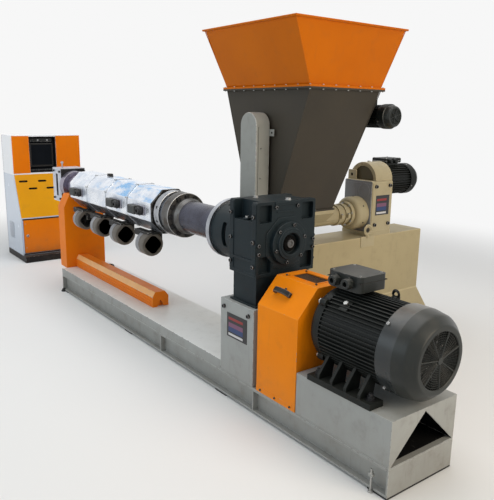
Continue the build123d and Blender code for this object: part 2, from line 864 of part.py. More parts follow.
drum_start = feeder_gearbox_near - drum_length
with BuildPart() as drum:
    with BuildSketch(Plane.XZ.offset(-drum_start)):
        with Locations((feeder_x, feeder_axis_height)):
            Circle(drum_radius)
    extrude(amount=-drum_length)
    fillet(drum.edges().filter_by(GeomType.CIRCLE).group_by(Axis.Y)[0], drum_round)
    with BuildSketch(Plane.XZ.offset(-drum_start)):
        with Locations((feeder_x, feeder_axis_height)):
            Circle(drum_flange_radius)
    extrude(amount=drum_flange_length)
keep(drum.part, "feeder_drum")

trough_end = drum_start - drum_flange_length
trough_start = hopper_outlet_y - hopper_outlet_width / 2 - hopper_outlet_flange
trough_length = hopper_outlet_width + 2 * hopper_outlet_flange


def trough_funnel(inset):
    # Cross-section that leads from the hopper's outlet down to the feeder tube
    half_top = hopper_outlet_length / 2 + hopper_outlet_flange - inset
    half_low = trough_throat_width / 2 - inset
    Polyline(
        (feeder_x - half_top, trough_top),
        (feeder_x + half_top, trough_top),
        (feeder_x + half_top, trough_top - trough_lip),
        (feeder_x + half_low, feeder_axis_height - trough_throat_rise),
        (feeder_x - half_low, feeder_axis_height - trough_throat_rise),
        (feeder_x - half_top, trough_top - trough_lip),
        close=True,
    )


with BuildPart() as trough:
    with BuildSketch(Plane.XZ.offset(-trough_end)):
        with Locations((feeder_x, feeder_axis_height)):
            Circle(trough_radius)
    extrude(amount=trough_end - feed_tube_radius / 2)
    with BuildSketch(Plane.XZ.offset(-trough_start)):
        with BuildLine():
            trough_funnel(0)
        make_face()
    extrude(amount=-trough_length)
    with BuildSketch(Plane.XZ.offset(-trough_end)):
        with Locations((feeder_x, feeder_axis_height)):
            Circle(trough_radius - trough_wall)
    extrude(amount=trough_end, mode=Mode.SUBTRACT)
    with BuildSketch(Plane.XZ.offset(-trough_start - trough_wall)):
        with BuildLine():
            trough_funnel(trough_wall)
        make_face()
    extrude(amount=-(trough_length - 2 * trough_wall), mode=Mode.SUBTRACT)
    with BuildSketch(Plane.YZ.offset(feeder_x - trough_radius * 2)):
        with Locations((0, axis_height)):
            Circle(feed_tube_radius + seat_gap)
    extrude(amount=trough_radius * 4, mode=Mode.SUBTRACT)
keep(trough.part, "feeder_trough")

with BuildPart() as feeder_screw:
    with BuildSketch(Plane.XZ.offset(-trough_end)):
        with Locations((feeder_x, feeder_axis_height)):
            Circle(feeder_screw_radius)
    extrude(amount=trough_end - feed_tube_radius - seat_gap)
keep(feeder_screw.part, "feeder_screw")


# Hopper: four-sided sheet shells, open at the top
def hopper_shell(low_end, low, high_end, high, foot, rim):
    low_length, low_width, low_y = low_end
    high_length, high_width, high_y = high_end
    with BuildPart() as shell:
        for inset, mode in ((0, Mode.ADD), (hopper_wall, Mode.SUBTRACT)):
            with BuildSketch(Plane.XY.offset(low)):
                with Locations((feeder_x, low_y)):
                    Rectangle(low_length - 2 * inset, low_width - 2 * inset)
            with BuildSketch(Plane.XY.offset(high)):
                with Locations((feeder_x, high_y)):
                    Rectangle(high_length - 2 * inset, high_width - 2 * inset)
            loft(mode=mode)
        for level, length, width, centre_y, reach, thickness in (
            (low, low_length, low_width, low_y, foot, hopper_flange_thickness),
            (high, high_length, high_width, high_y, rim, -hopper_flange_thickness),
        ):
            if reach:
                with BuildSketch(Plane.XY.offset(level)):
                    with Locations((feeder_x, centre_y)):
                        Rectangle(length + 2 * reach, width + 2 * reach)
                        Rectangle(length - 2 * hopper_wall, width - 2 * hopper_wall, mode=Mode.SUBTRACT)
                extrude(amount=thickness)
    return shell.part


outlet = (hopper_outlet_length, hopper_outlet_width, hopper_outlet_y)
middle = (hopper_mid_length, hopper_mid_width, hopper_y)
mouth = (hopper_mouth_length, hopper_mouth_width, hopper_y)
upper = hopper_shell(middle, hopper_mid_height, mouth, hopper_top, hopper_flange_width, hopper_rim_width)
keep(upper, "hopper_upper")


def hopper_edge(level, side):
    # Outer wall of the hopper on one side at a height, with the joint flange where it is wider
    if level < hopper_mid_height - hopper_flange_thickness:
        share = (level - trough_top) / (hopper_mid_height - trough_top)
        low_edge = hopper_outlet_y + side * hopper_outlet_width / 2
        high_edge = hopper_y + side * hopper_mid_width / 2
        return low_edge + share * (high_edge - low_edge)
    share = max(level - hopper_mid_height, 0) / (hopper_top - hopper_mid_height)
    half_width = (hopper_mid_width + share * (hopper_mouth_width - hopper_mid_width)) / 2
    return hopper_y + side * max(half_width, hopper_mid_width / 2 + hopper_flange_width)


with BuildPart() as lower:
    outlet_reach = hopper_outlet_flange
    add(hopper_shell(outlet, trough_top, middle, hopper_mid_height, outlet_reach, hopper_flange_width))
    with BuildSketch(Plane.XZ.offset(-hopper_y + hopper_mid_width)):
        with Locations((feeder_x, agitator_height)):
            Circle(agitator_shaft_radius + seat_gap)
    extrude(amount=-2 * hopper_mid_width, mode=Mode.SUBTRACT)
keep(lower.part, "hopper_lower")

# Agitator: shaft through the hopper with arms, driven from the far side
agitator_box_middle = agitator_height + agitator_motor_rise / 2
agitator_box_top = agitator_box_middle + agitator_gearbox_height / 2
agitator_far = hopper_edge(agitator_box_top, 1) + seat_gap
chain_guard_top = agitator_height + chain_guard_width / 2
chain_guard_far = min(hopper_edge(chain_guard_top, -1), trough_start) - seat_gap
chain_guard_near = chain_guard_far - chain_guard_depth
with BuildPart() as agitator:
    with BuildSketch(Plane.XZ.offset(-chain_guard_far)):
        with Locations((feeder_x, agitator_height)):
            Circle(agitator_shaft_radius)
    extrude(amount=-(agitator_far - chain_guard_far))
    arm_pitch = hopper_mid_width / (agitator_arm_count + 1)
    for arm in range(agitator_arm_count):
        arm_y = hopper_y + (arm - (agitator_arm_count - 1) / 2) * arm_pitch
        with BuildSketch(Plane.XZ.offset(-arm_y + agitator_arm_width / 2)):
            with Locations((feeder_x, agitator_height)):
                Rectangle(agitator_arm_thickness, 2 * agitator_arm_length)
        extrude(amount=-agitator_arm_width)
keep(agitator.part, "agitator_shaft")

agitator_motor_y = agitator_far + agitator_motor_clearance + agitator_motor_radius
with BuildPart() as agitator_drive:
    with BuildSketch(Plane.XZ.offset(-agitator_far)):
        with Locations((feeder_x, agitator_box_middle)):
            RectangleRounded(agitator_gearbox_width, agitator_gearbox_height, agitator_gearbox_round)
    extrude(amount=-agitator_gearbox_depth)
    with BuildSketch(Plane.YZ.offset(feeder_x)):
        with Locations((agitator_motor_y, agitator_height + agitator_motor_rise)):
            Circle(agitator_motor_radius)
    extrude(amount=agitator_gearbox_width / 2 + agitator_motor_length)
keep(agitator_drive.part, "agitator_drive")

with BuildPart() as chain_cover:
    guard_low = feeder_axis_height - trough_radius
    guard_span = agitator_height - guard_low
    with BuildSketch(Plane.XZ.offset(-chain_guard_near)):
        with Locations((feeder_x, guard_low + guard_span / 2)):
            Rectangle(chain_guard_width, guard_span)
        with Locations((feeder_x, agitator_height)):
            Circle(chain_guard_width / 2)
    extrude(amount=-chain_guard_depth)
    with BuildSketch(Plane.XZ.offset(-chain_guard_near)):
        with Locations((feeder_x, feeder_axis_height)):
            Circle(trough_radius + seat_gap)
        with Locations((feeder_x, feeder_axis_height - trough_radius)):
            Rectangle(2 * trough_radius + 2 * seat_gap, 2 * trough_radius)
    extrude(amount=-chain_guard_depth, mode=Mode.SUBTRACT)
keep(chain_cover.part, "chain_guard")

# Control cabinet beside the die end
cabinet_far = cabinet_near + cabinet_width
cabinet_middle = (cabinet_near + cabinet_far) / 2
with BuildPart() as cabinet_base:
    with BuildSketch(Plane.XY):
        with Locations(((cabinet_back + cabinet_plinth_front) / 2, cabinet_middle)):
            Rectangle(cabinet_plinth_front - cabinet_back, cabinet_width)
    extrude(amount=cabinet_plinth_height)
keep(cabinet_base.part, "cabinet_plinth")


def cabinet_profile(inset):
    # Side outline: upright door front, sloping desk and a set-back top
    Polyline(
        (cabinet_back + inset, cabinet_plinth_height + inset),
        (cabinet_front - inset, cabinet_plinth_height + inset),
        (cabinet_front - inset, cabinet_desk_height - inset),
        (cabinet_top_front - inset, cabinet_height - cabinet_head_height - inset / 2),
        (cabinet_top_front - inset, cabinet_height - inset),
        (cabinet_back + inset, cabinet_height - inset),
        close=True,
    )


door_width = cabinet_width - 2 * door_side_margin
door_bottom = cabinet_plinth_height + door_side_margin
door_middle = door_bottom + cabinet_door_height / 2
door_edge = cabinet_middle + door_width / 2
hinge_x = cabinet_front + hinge_radius + hinge_standoff
hinge_y = door_edge + door_gap / 2
hinge_levels = [door_bottom + rise for rise in hinge_rises]
screen_middle = cabinet_near + screen_left + screen_width / 2
screen_level = cabinet_height - cabinet_sheet - screen_height / 2


def hinge_leaf(level, side, bore):
    # Knuckle on the hinge axis with a strap that lies on the sheet beside it
    with BuildPart() as leaf:
        with BuildSketch(Plane.XY.offset(level)):
            with Locations((hinge_x, hinge_y)):
                Circle(hinge_radius)
            with Locations((cabinet_front + hinge_strap / 2, hinge_y + side * hinge_strap_reach / 2)):
                Rectangle(hinge_strap, hinge_strap_reach)
            with Locations((hinge_x, hinge_y)):
                Circle(bore, mode=Mode.SUBTRACT)
        extrude(amount=hinge_height / 2)
    return leaf.part


with BuildPart() as body:
    with BuildSketch(Plane.XZ.offset(-cabinet_near)):
        with BuildLine():
            cabinet_profile(0)
        make_face()
    extrude(amount=-cabinet_width)
    with BuildSketch(Plane.XZ.offset(-cabinet_near - cabinet_sheet)):
        with BuildLine():
            cabinet_profile(cabinet_sheet)
        make_face()
    extrude(amount=-(cabinet_width - 2 * cabinet_sheet), mode=Mode.SUBTRACT)
    with BuildSketch(Plane.YZ.offset(cabinet_front)):
        with Locations((cabinet_middle, door_middle)):
            Rectangle(door_width + 2 * door_gap, cabinet_door_height + 2 * door_gap)
    extrude(amount=-(door_thickness + door_gap), mode=Mode.SUBTRACT)
    with BuildSketch(Plane.YZ.offset(cabinet_top_front)):
        with Locations((screen_middle, screen_level)):
            Rectangle(screen_width, screen_height)
    extrude(amount=-cabinet_sheet, mode=Mode.SUBTRACT)
    for level in hinge_levels:
        add(hinge_leaf(level, 1, hinge_pin_radius / 2))
        with BuildSketch(Plane.XY.offset(level)):
            with Locations((hinge_x, hinge_y)):
                Circle(hinge_pin_radius)
        extrude(amount=hinge_height)
keep(body.part, "cabinet_body")

# Tray that lines the screen's recess, with its back, sides, top and floor
with BuildPart() as screen:
    with BuildSketch(Plane.YZ.offset(cabinet_top_front)):
        with Locations((screen_middle, screen_level)):
            Rectangle(screen_width, screen_height)
    extrude(amount=-(screen_recess + screen_glass))
    with BuildSketch(Plane.YZ.offset(cabinet_top_front)):
        with Locations((screen_middle, screen_level)):
            Rectangle(screen_width - 2 * screen_glass, screen_height - 2 * screen_glass)
    extrude(amount=-screen_recess, mode=Mode.SUBTRACT)
keep(screen.part, "cabinet_screen")

with BuildPart() as door:
    with BuildSketch(Plane.YZ.offset(cabinet_front)):
        with Locations((cabinet_middle, door_middle)):
            Rectangle(door_width, cabinet_door_height)
    extrude(amount=-door_thickness)
    for level in hinge_levels:
        add(hinge_leaf(level + hinge_height / 2 + hinge_clearance, -1, hinge_pin_radius + hinge_clearance))
keep(door.part, "cabinet_door")
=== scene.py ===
import bmesh
import bpy
import math
import random
from mathutils import Matrix, Vector, noise


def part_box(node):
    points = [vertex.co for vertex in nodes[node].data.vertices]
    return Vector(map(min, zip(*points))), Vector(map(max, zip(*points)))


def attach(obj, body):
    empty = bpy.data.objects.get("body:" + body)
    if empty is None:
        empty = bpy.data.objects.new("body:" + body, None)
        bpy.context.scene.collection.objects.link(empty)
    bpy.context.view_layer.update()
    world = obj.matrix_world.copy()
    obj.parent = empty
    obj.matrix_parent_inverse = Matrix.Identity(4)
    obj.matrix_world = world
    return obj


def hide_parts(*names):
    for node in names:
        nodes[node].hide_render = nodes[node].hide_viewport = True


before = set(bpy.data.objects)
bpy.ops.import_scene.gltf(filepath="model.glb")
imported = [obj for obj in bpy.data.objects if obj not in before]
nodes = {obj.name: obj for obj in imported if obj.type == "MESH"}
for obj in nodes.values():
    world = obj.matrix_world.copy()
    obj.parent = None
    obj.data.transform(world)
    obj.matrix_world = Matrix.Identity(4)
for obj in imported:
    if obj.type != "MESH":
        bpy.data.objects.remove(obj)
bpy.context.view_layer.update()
random.seed(64)
print("frame loaded:", len(nodes), "nodes")

# camera solved from the photograph, metres and radians
view = {
    "place": (5.5928, -2.2461, 1.7267),
    "yaw": 0.9243,
    "pitch": 0.2224,
    "roll": 0.0159,
    "lens": 43.507,
    "sensor": 36.0,
}


def makeCamera():
    yaw, pitch, roll = view["yaw"], view["pitch"], view["roll"]
    forward = Vector((-math.sin(yaw) * math.cos(pitch), math.cos(yaw) * math.cos(pitch), -math.sin(pitch)))
    right = Vector((math.cos(yaw), math.sin(yaw), 0))
    up = right.cross(forward)
    rolledRight = right * math.cos(roll) + up * math.sin(roll)
    rolledUp = up * math.cos(roll) - right * math.sin(roll)
    data = bpy.data.cameras.new("photoCamera")
    data.lens = view["lens"]
    data.sensor_width = view["sensor"]
    data.clip_end = 60
    camera = bpy.data.objects.new("photoCamera", data)
    turn = Matrix((rolledRight, rolledUp, -forward)).transposed().to_4x4()
    camera.matrix_world = Matrix.Translation(view["place"]) @ turn
    bpy.context.scene.collection.objects.link(camera)
    bpy.context.scene.camera = camera


makeCamera()


class Wire:  # a shader socket that can be used in sums
    def __init__(self, finish, socket):
        self.finish = finish
        self.socket = socket

    def maths(self, operation, left, right=0.0):
        return self.finish.node("ShaderNodeMath", {"operation": operation}, {0: left, 1: right})

    def __add__(self, other):
        return self.maths("ADD", self, other)

    def __radd__(self, other):
        return self.maths("ADD", other, self)

    def __sub__(self, other):
        return self.maths("SUBTRACT", self, other)

    def __rsub__(self, other):
        return self.maths("SUBTRACT", other, self)

    def __mul__(self, other):
        return self.maths("MULTIPLY", self, other)

    def __rmul__(self, other):
        return self.maths("MULTIPLY", other, self)

    def __gt__(self, other):
        return self.maths("GREATER_THAN", self, other)

    def within(self, low, high):  # 0 below low, 1 above high, smooth between
        settings = {"interpolation_type": "SMOOTHSTEP"}
        return self.finish.node("ShaderNodeMapRange", settings, {0: self, 1: low, 2: high, 3: 0.0, 4: 1.0})


class Finish:  # one material with its shader
    def __init__(self, name, **constants):
        self.material = bpy.data.materials.new(name)
        self.material.use_nodes = True
        self.tree = self.material.node_tree
        self.shader = self.tree.nodes["Principled BSDF"]
        self.place = self.node("ShaderNodeTexCoord", give="Object")
        for socket, value in constants.items():
            self.shader.inputs[socket.replace("_", " ")].default_value = value

    def node(self, kind, settings=None, sockets=None, give=0):
        made = self.tree.nodes.new(kind)
        for key, value in (settings or {}).items():
            if key == "stops":
                ramp = made.color_ramp.elements
                while len(ramp) < len(value):
                    ramp.new(0.5)
                for stop, (at, shade) in zip(ramp, value):
                    stop.position = at
                    stop.color = (*shade, 1) if len(shade) == 3 else shade
            else:
                setattr(made, key, value)
        for key, value in (sockets or {}).items():
            if isinstance(value, Wire):
                self.tree.links.new(value.socket, made.inputs[key])
            elif isinstance(value, tuple) and made.inputs[key].type == "RGBA" and len(value) == 3:
                made.inputs[key].default_value = (*value, 1)
            else:
                made.inputs[key].default_value = value
        return Wire(self, made.outputs[give])

    def feed(self, **links):
        for socket, wire in links.items():
            self.tree.links.new(wire.socket, self.shader.inputs[socket.replace("_", " ")])

    def stretched(self, scale, offset=(0, 0, 0)):
        return self.node("ShaderNodeMapping", {}, {"Vector": self.place, "Scale": scale, "Location": offset})

    def noise(self, scale, detail=2.0, rough=0.5, where=None):
        sockets = {"Vector": where or self.place, "Scale": scale, "Detail": detail, "Roughness": rough}
        return self.node("ShaderNodeTexNoise", {}, sockets)

    def mix(self, mask, first, second):
        return self.node("ShaderNodeMix", {"data_type": "RGBA"}, {0: mask, 6: first, 7: second}, 2)

    def part(self, vector, axis):  # one number of a vector
        return self.node("ShaderNodeSeparateXYZ", {}, {0: vector}, axis)

    def bump(self, height, strength, distance, below=None):
        sockets = {"Height": height, "Strength": strength, "Distance": distance}
        if below:
            sockets["Normal"] = below
        return self.node("ShaderNodeBump", {}, sockets)

    def upward(self):  # 1 on faces that look up, where dust settles
        return self.part(self.node("ShaderNodeTexCoord", give="Normal"), 2)

    def height(self):
        return self.part(self.place, 2)

    def worn(self):  # 1 on the rounded edges
        return self.node("ShaderNodeAttribute", {"attribute_name": "wear"}, {}, "Fac")


def enamel(name, look):  # sprayed enamel over sheet or casting, with dust, streaks and chipped edges
    paint = Finish(name, Metallic=0.0, Coat_Roughness=0.25, Specular_IOR_Level=look.get("gloss", 0.2))
    colour, bare = look["colour"], look.get("bare", (0.30, 0.29, 0.28))
    cloud = paint.noise(2.3, 3).within(0.3, 0.7)
    grime = paint.noise(11.0, 7, 0.62)
    streak = paint.noise(7.0, 5, 0.6, paint.stretched((6, 6, 0.7)))
    shade = paint.mix(cloud * 0.6, colour, look["shade"])
    dirt = (grime.within(0.5, 0.78) * 0.7 + streak.within(0.55, 0.8) * 0.6) * look.get("dirt", 0.35)
    shade = paint.mix(dirt, shade, (0.09, 0.075, 0.055))
    dust = paint.upward().within(0.55, 0.98) * paint.noise(5.0, 5).within(0.25, 0.8) * look.get("dust", 0.25)
    shade = paint.mix(dust, shade, (0.46, 0.42, 0.35))
    if "belowNeck" in look:
        shade = paint.mix(paint.height().within(0.985, 1.0), look["belowNeck"], shade)
    low = (1 - paint.height().within(0.02, 0.5)) * look.get("floorDust", 0.3)
    shade = paint.mix(low * grime, shade, (0.20, 0.17, 0.13))
    chipped = paint.worn() * (paint.noise(38.0, 4, 0.7) > (1 - look.get("chips", 0.45)))
    edge = look.get("edge", tuple(min(1, part * 1.5 + 0.03) for part in colour))
    shade = paint.mix(paint.worn() * 0.35, shade, edge)
    shade = paint.mix(chipped, shade, bare)
    rough = look["rough"] + grime * 0.22 - 0.1 + dirt * 0.25 + dust * 0.3
    relief = paint.bump(paint.noise(260.0, 2), 0.12, 0.0006)
    relief = paint.bump(paint.noise(3.0, 2), 0.15, 0.004, relief)
    relief = paint.bump(chipped, 0.3, -0.0004, relief)
    paint.feed(Base_Color=shade, Roughness=rough, Metallic=chipped * 0.8, Normal=relief)
    paint.shader.inputs["Coat Weight"].default_value = look.get("coat", 0.04)
    return paint.material


def casting(name, look):  # sand-cast iron under thick paint
    iron = Finish(name, Coat_Roughness=0.35, Specular_IOR_Level=0.16)
    grain = iron.noise(95.0, 4, 0.65)
    cloud = iron.noise(4.5, 5).within(0.3, 0.72)
    grime = iron.noise(17.0, 8, 0.66)
    shade = iron.mix(cloud * 0.7, look["colour"], look["shade"])
    dust = iron.upward().within(0.3, 0.95) * iron.noise(9.0, 6).within(0.25, 0.75) * look.get("dust", 0.35)
    shade = iron.mix(dust, shade, (0.24, 0.22, 0.18))
    oil = grime.within(0.56, 0.7) * 0.5
    shade = iron.mix(oil, shade, (0.006, 0.006, 0.005))
    chipped = iron.worn() * (iron.noise(46.0, 4, 0.7) > 0.66)
    shade = iron.mix(iron.worn() * 0.4, shade, look["edge"])
    shade = iron.mix(chipped, shade, (0.10, 0.095, 0.09))
    rough = look["rough"] + grain * 0.15 - oil * 0.2 + dust * 0.3
    relief = iron.bump(grain, 0.35, 0.0012)
    relief = iron.bump(iron.noise(14.0, 3), 0.2, 0.003, relief)
    iron.feed(Base_Color=shade, Roughness=rough, Metallic=chipped * 0.7, Normal=relief)
    iron.shader.inputs["Coat Weight"].default_value = look.get("coat", 0.1)
    return iron.material


def steel(name, look):  # bare metal, turned, ground or sheet, with stains
    metal = Finish(name, Metallic=look.get("metallic", 1.0))
    lines = metal.noise(60.0, 4, 0.6, metal.stretched(look["lines"]))
    cloud = metal.noise(6.0, 5).within(0.3, 0.7)
    stain = metal.noise(15.0, 7, 0.68).within(0.5, 0.72)
    shade = metal.mix(cloud, look["colour"], look["shade"])
    shade = metal.mix(lines * 0.25, shade, (0.05, 0.05, 0.05))
    shade = metal.mix(stain * look.get("stain", 0.4), shade, (0.07, 0.05, 0.035))
    shade = metal.mix(metal.worn() * 0.4, shade, (0.8, 0.8, 0.8))
    rough = look["rough"] + lines * 0.18 + stain * 0.25 - cloud * 0.06
    relief = metal.bump(lines, look.get("relief", 0.15), 0.0005)
    relief = metal.bump(metal.noise(9.0, 3), 0.05, 0.004, relief)
    metal.feed(Base_Color=shade, Roughness=rough, Normal=relief)
    return metal.material


def claddingSheet():  # bright stainless with wrinkled film; its sky-coloured and white glints are painted reflections, and faces that look down get painted shade
    sheet = Finish("stainlessCladding")
    wrinkle = sheet.noise(10.0, 6, 0.62)
    patch = sheet.noise(3.6, 6, 0.66, sheet.stretched((1, 2.2, 2.2), offset=(0.35, 0.1, 0.2)))
    smear = sheet.noise(22.0, 6, 0.7)
    shade = sheet.mix(wrinkle.within(0.35, 0.75), (0.86, 0.89, 0.94), (0.60, 0.66, 0.76))
    facing = sheet.upward()
    along = sheet.part(sheet.place, 0)
    # painted reflection of the sky on faces that look up
    paintedSkyReflection = patch.within(0.46, 0.62) * facing.within(0.3, 0.65) * along.within(0.45, 0.9)
    shade = sheet.mix(paintedSkyReflection * 0.9, shade, (0.16, 0.44, 0.78))
    # painted reflection: white patches
    shade = sheet.mix(smear.within(0.56, 0.72) * 0.6, shade, (0.95, 0.95, 0.96))
    shade = sheet.mix(smear.within(0.2, 0.36) * -0.7 + 0.7, shade, (0.20, 0.23, 0.28))
    # painted shade on faces that look down
    shade = sheet.mix(facing.within(-0.85, -0.3), (0.05, 0.05, 0.06), shade)
    shade = sheet.mix(sheet.worn() * 0.5, shade, (0.9, 0.9, 0.92))
    rough = wrinkle * 0.35 + 0.12
    relief = sheet.bump(wrinkle, 0.55, 0.006)
    relief = sheet.bump(smear, 0.25, 0.0015, relief)
    sheet.feed(Base_Color=shade, Roughness=rough, Metallic=0.75 - patch.within(0.5, 0.7) * 0.4, Normal=relief)
    return sheet.material


def plastic(name, look):  # moulded housing with a fine grain
    moulding = Finish(name, Specular_IOR_Level=look.get("gloss", 0.3))
    grain = moulding.noise(520.0, 2)
    scuff = moulding.noise(24.0, 7, 0.7, moulding.stretched((1, 3, 1)))
    shade = moulding.mix(moulding.noise(8.0, 4), look["colour"], look["shade"])
    scuffed = (0.2, 0.19, 0.18)
    shade = moulding.mix(scuff.within(0.58, 0.75) * look.get("scuff", 0.4), shade, scuffed)
    shade = moulding.mix(moulding.worn() * 0.4, shade, scuffed)
    rough = look["rough"] + scuff * 0.2
    moulding.feed(Base_Color=shade, Roughness=rough, Normal=moulding.bump(grain, look.get("grain", 0.2), 0.0004))
    return moulding.material


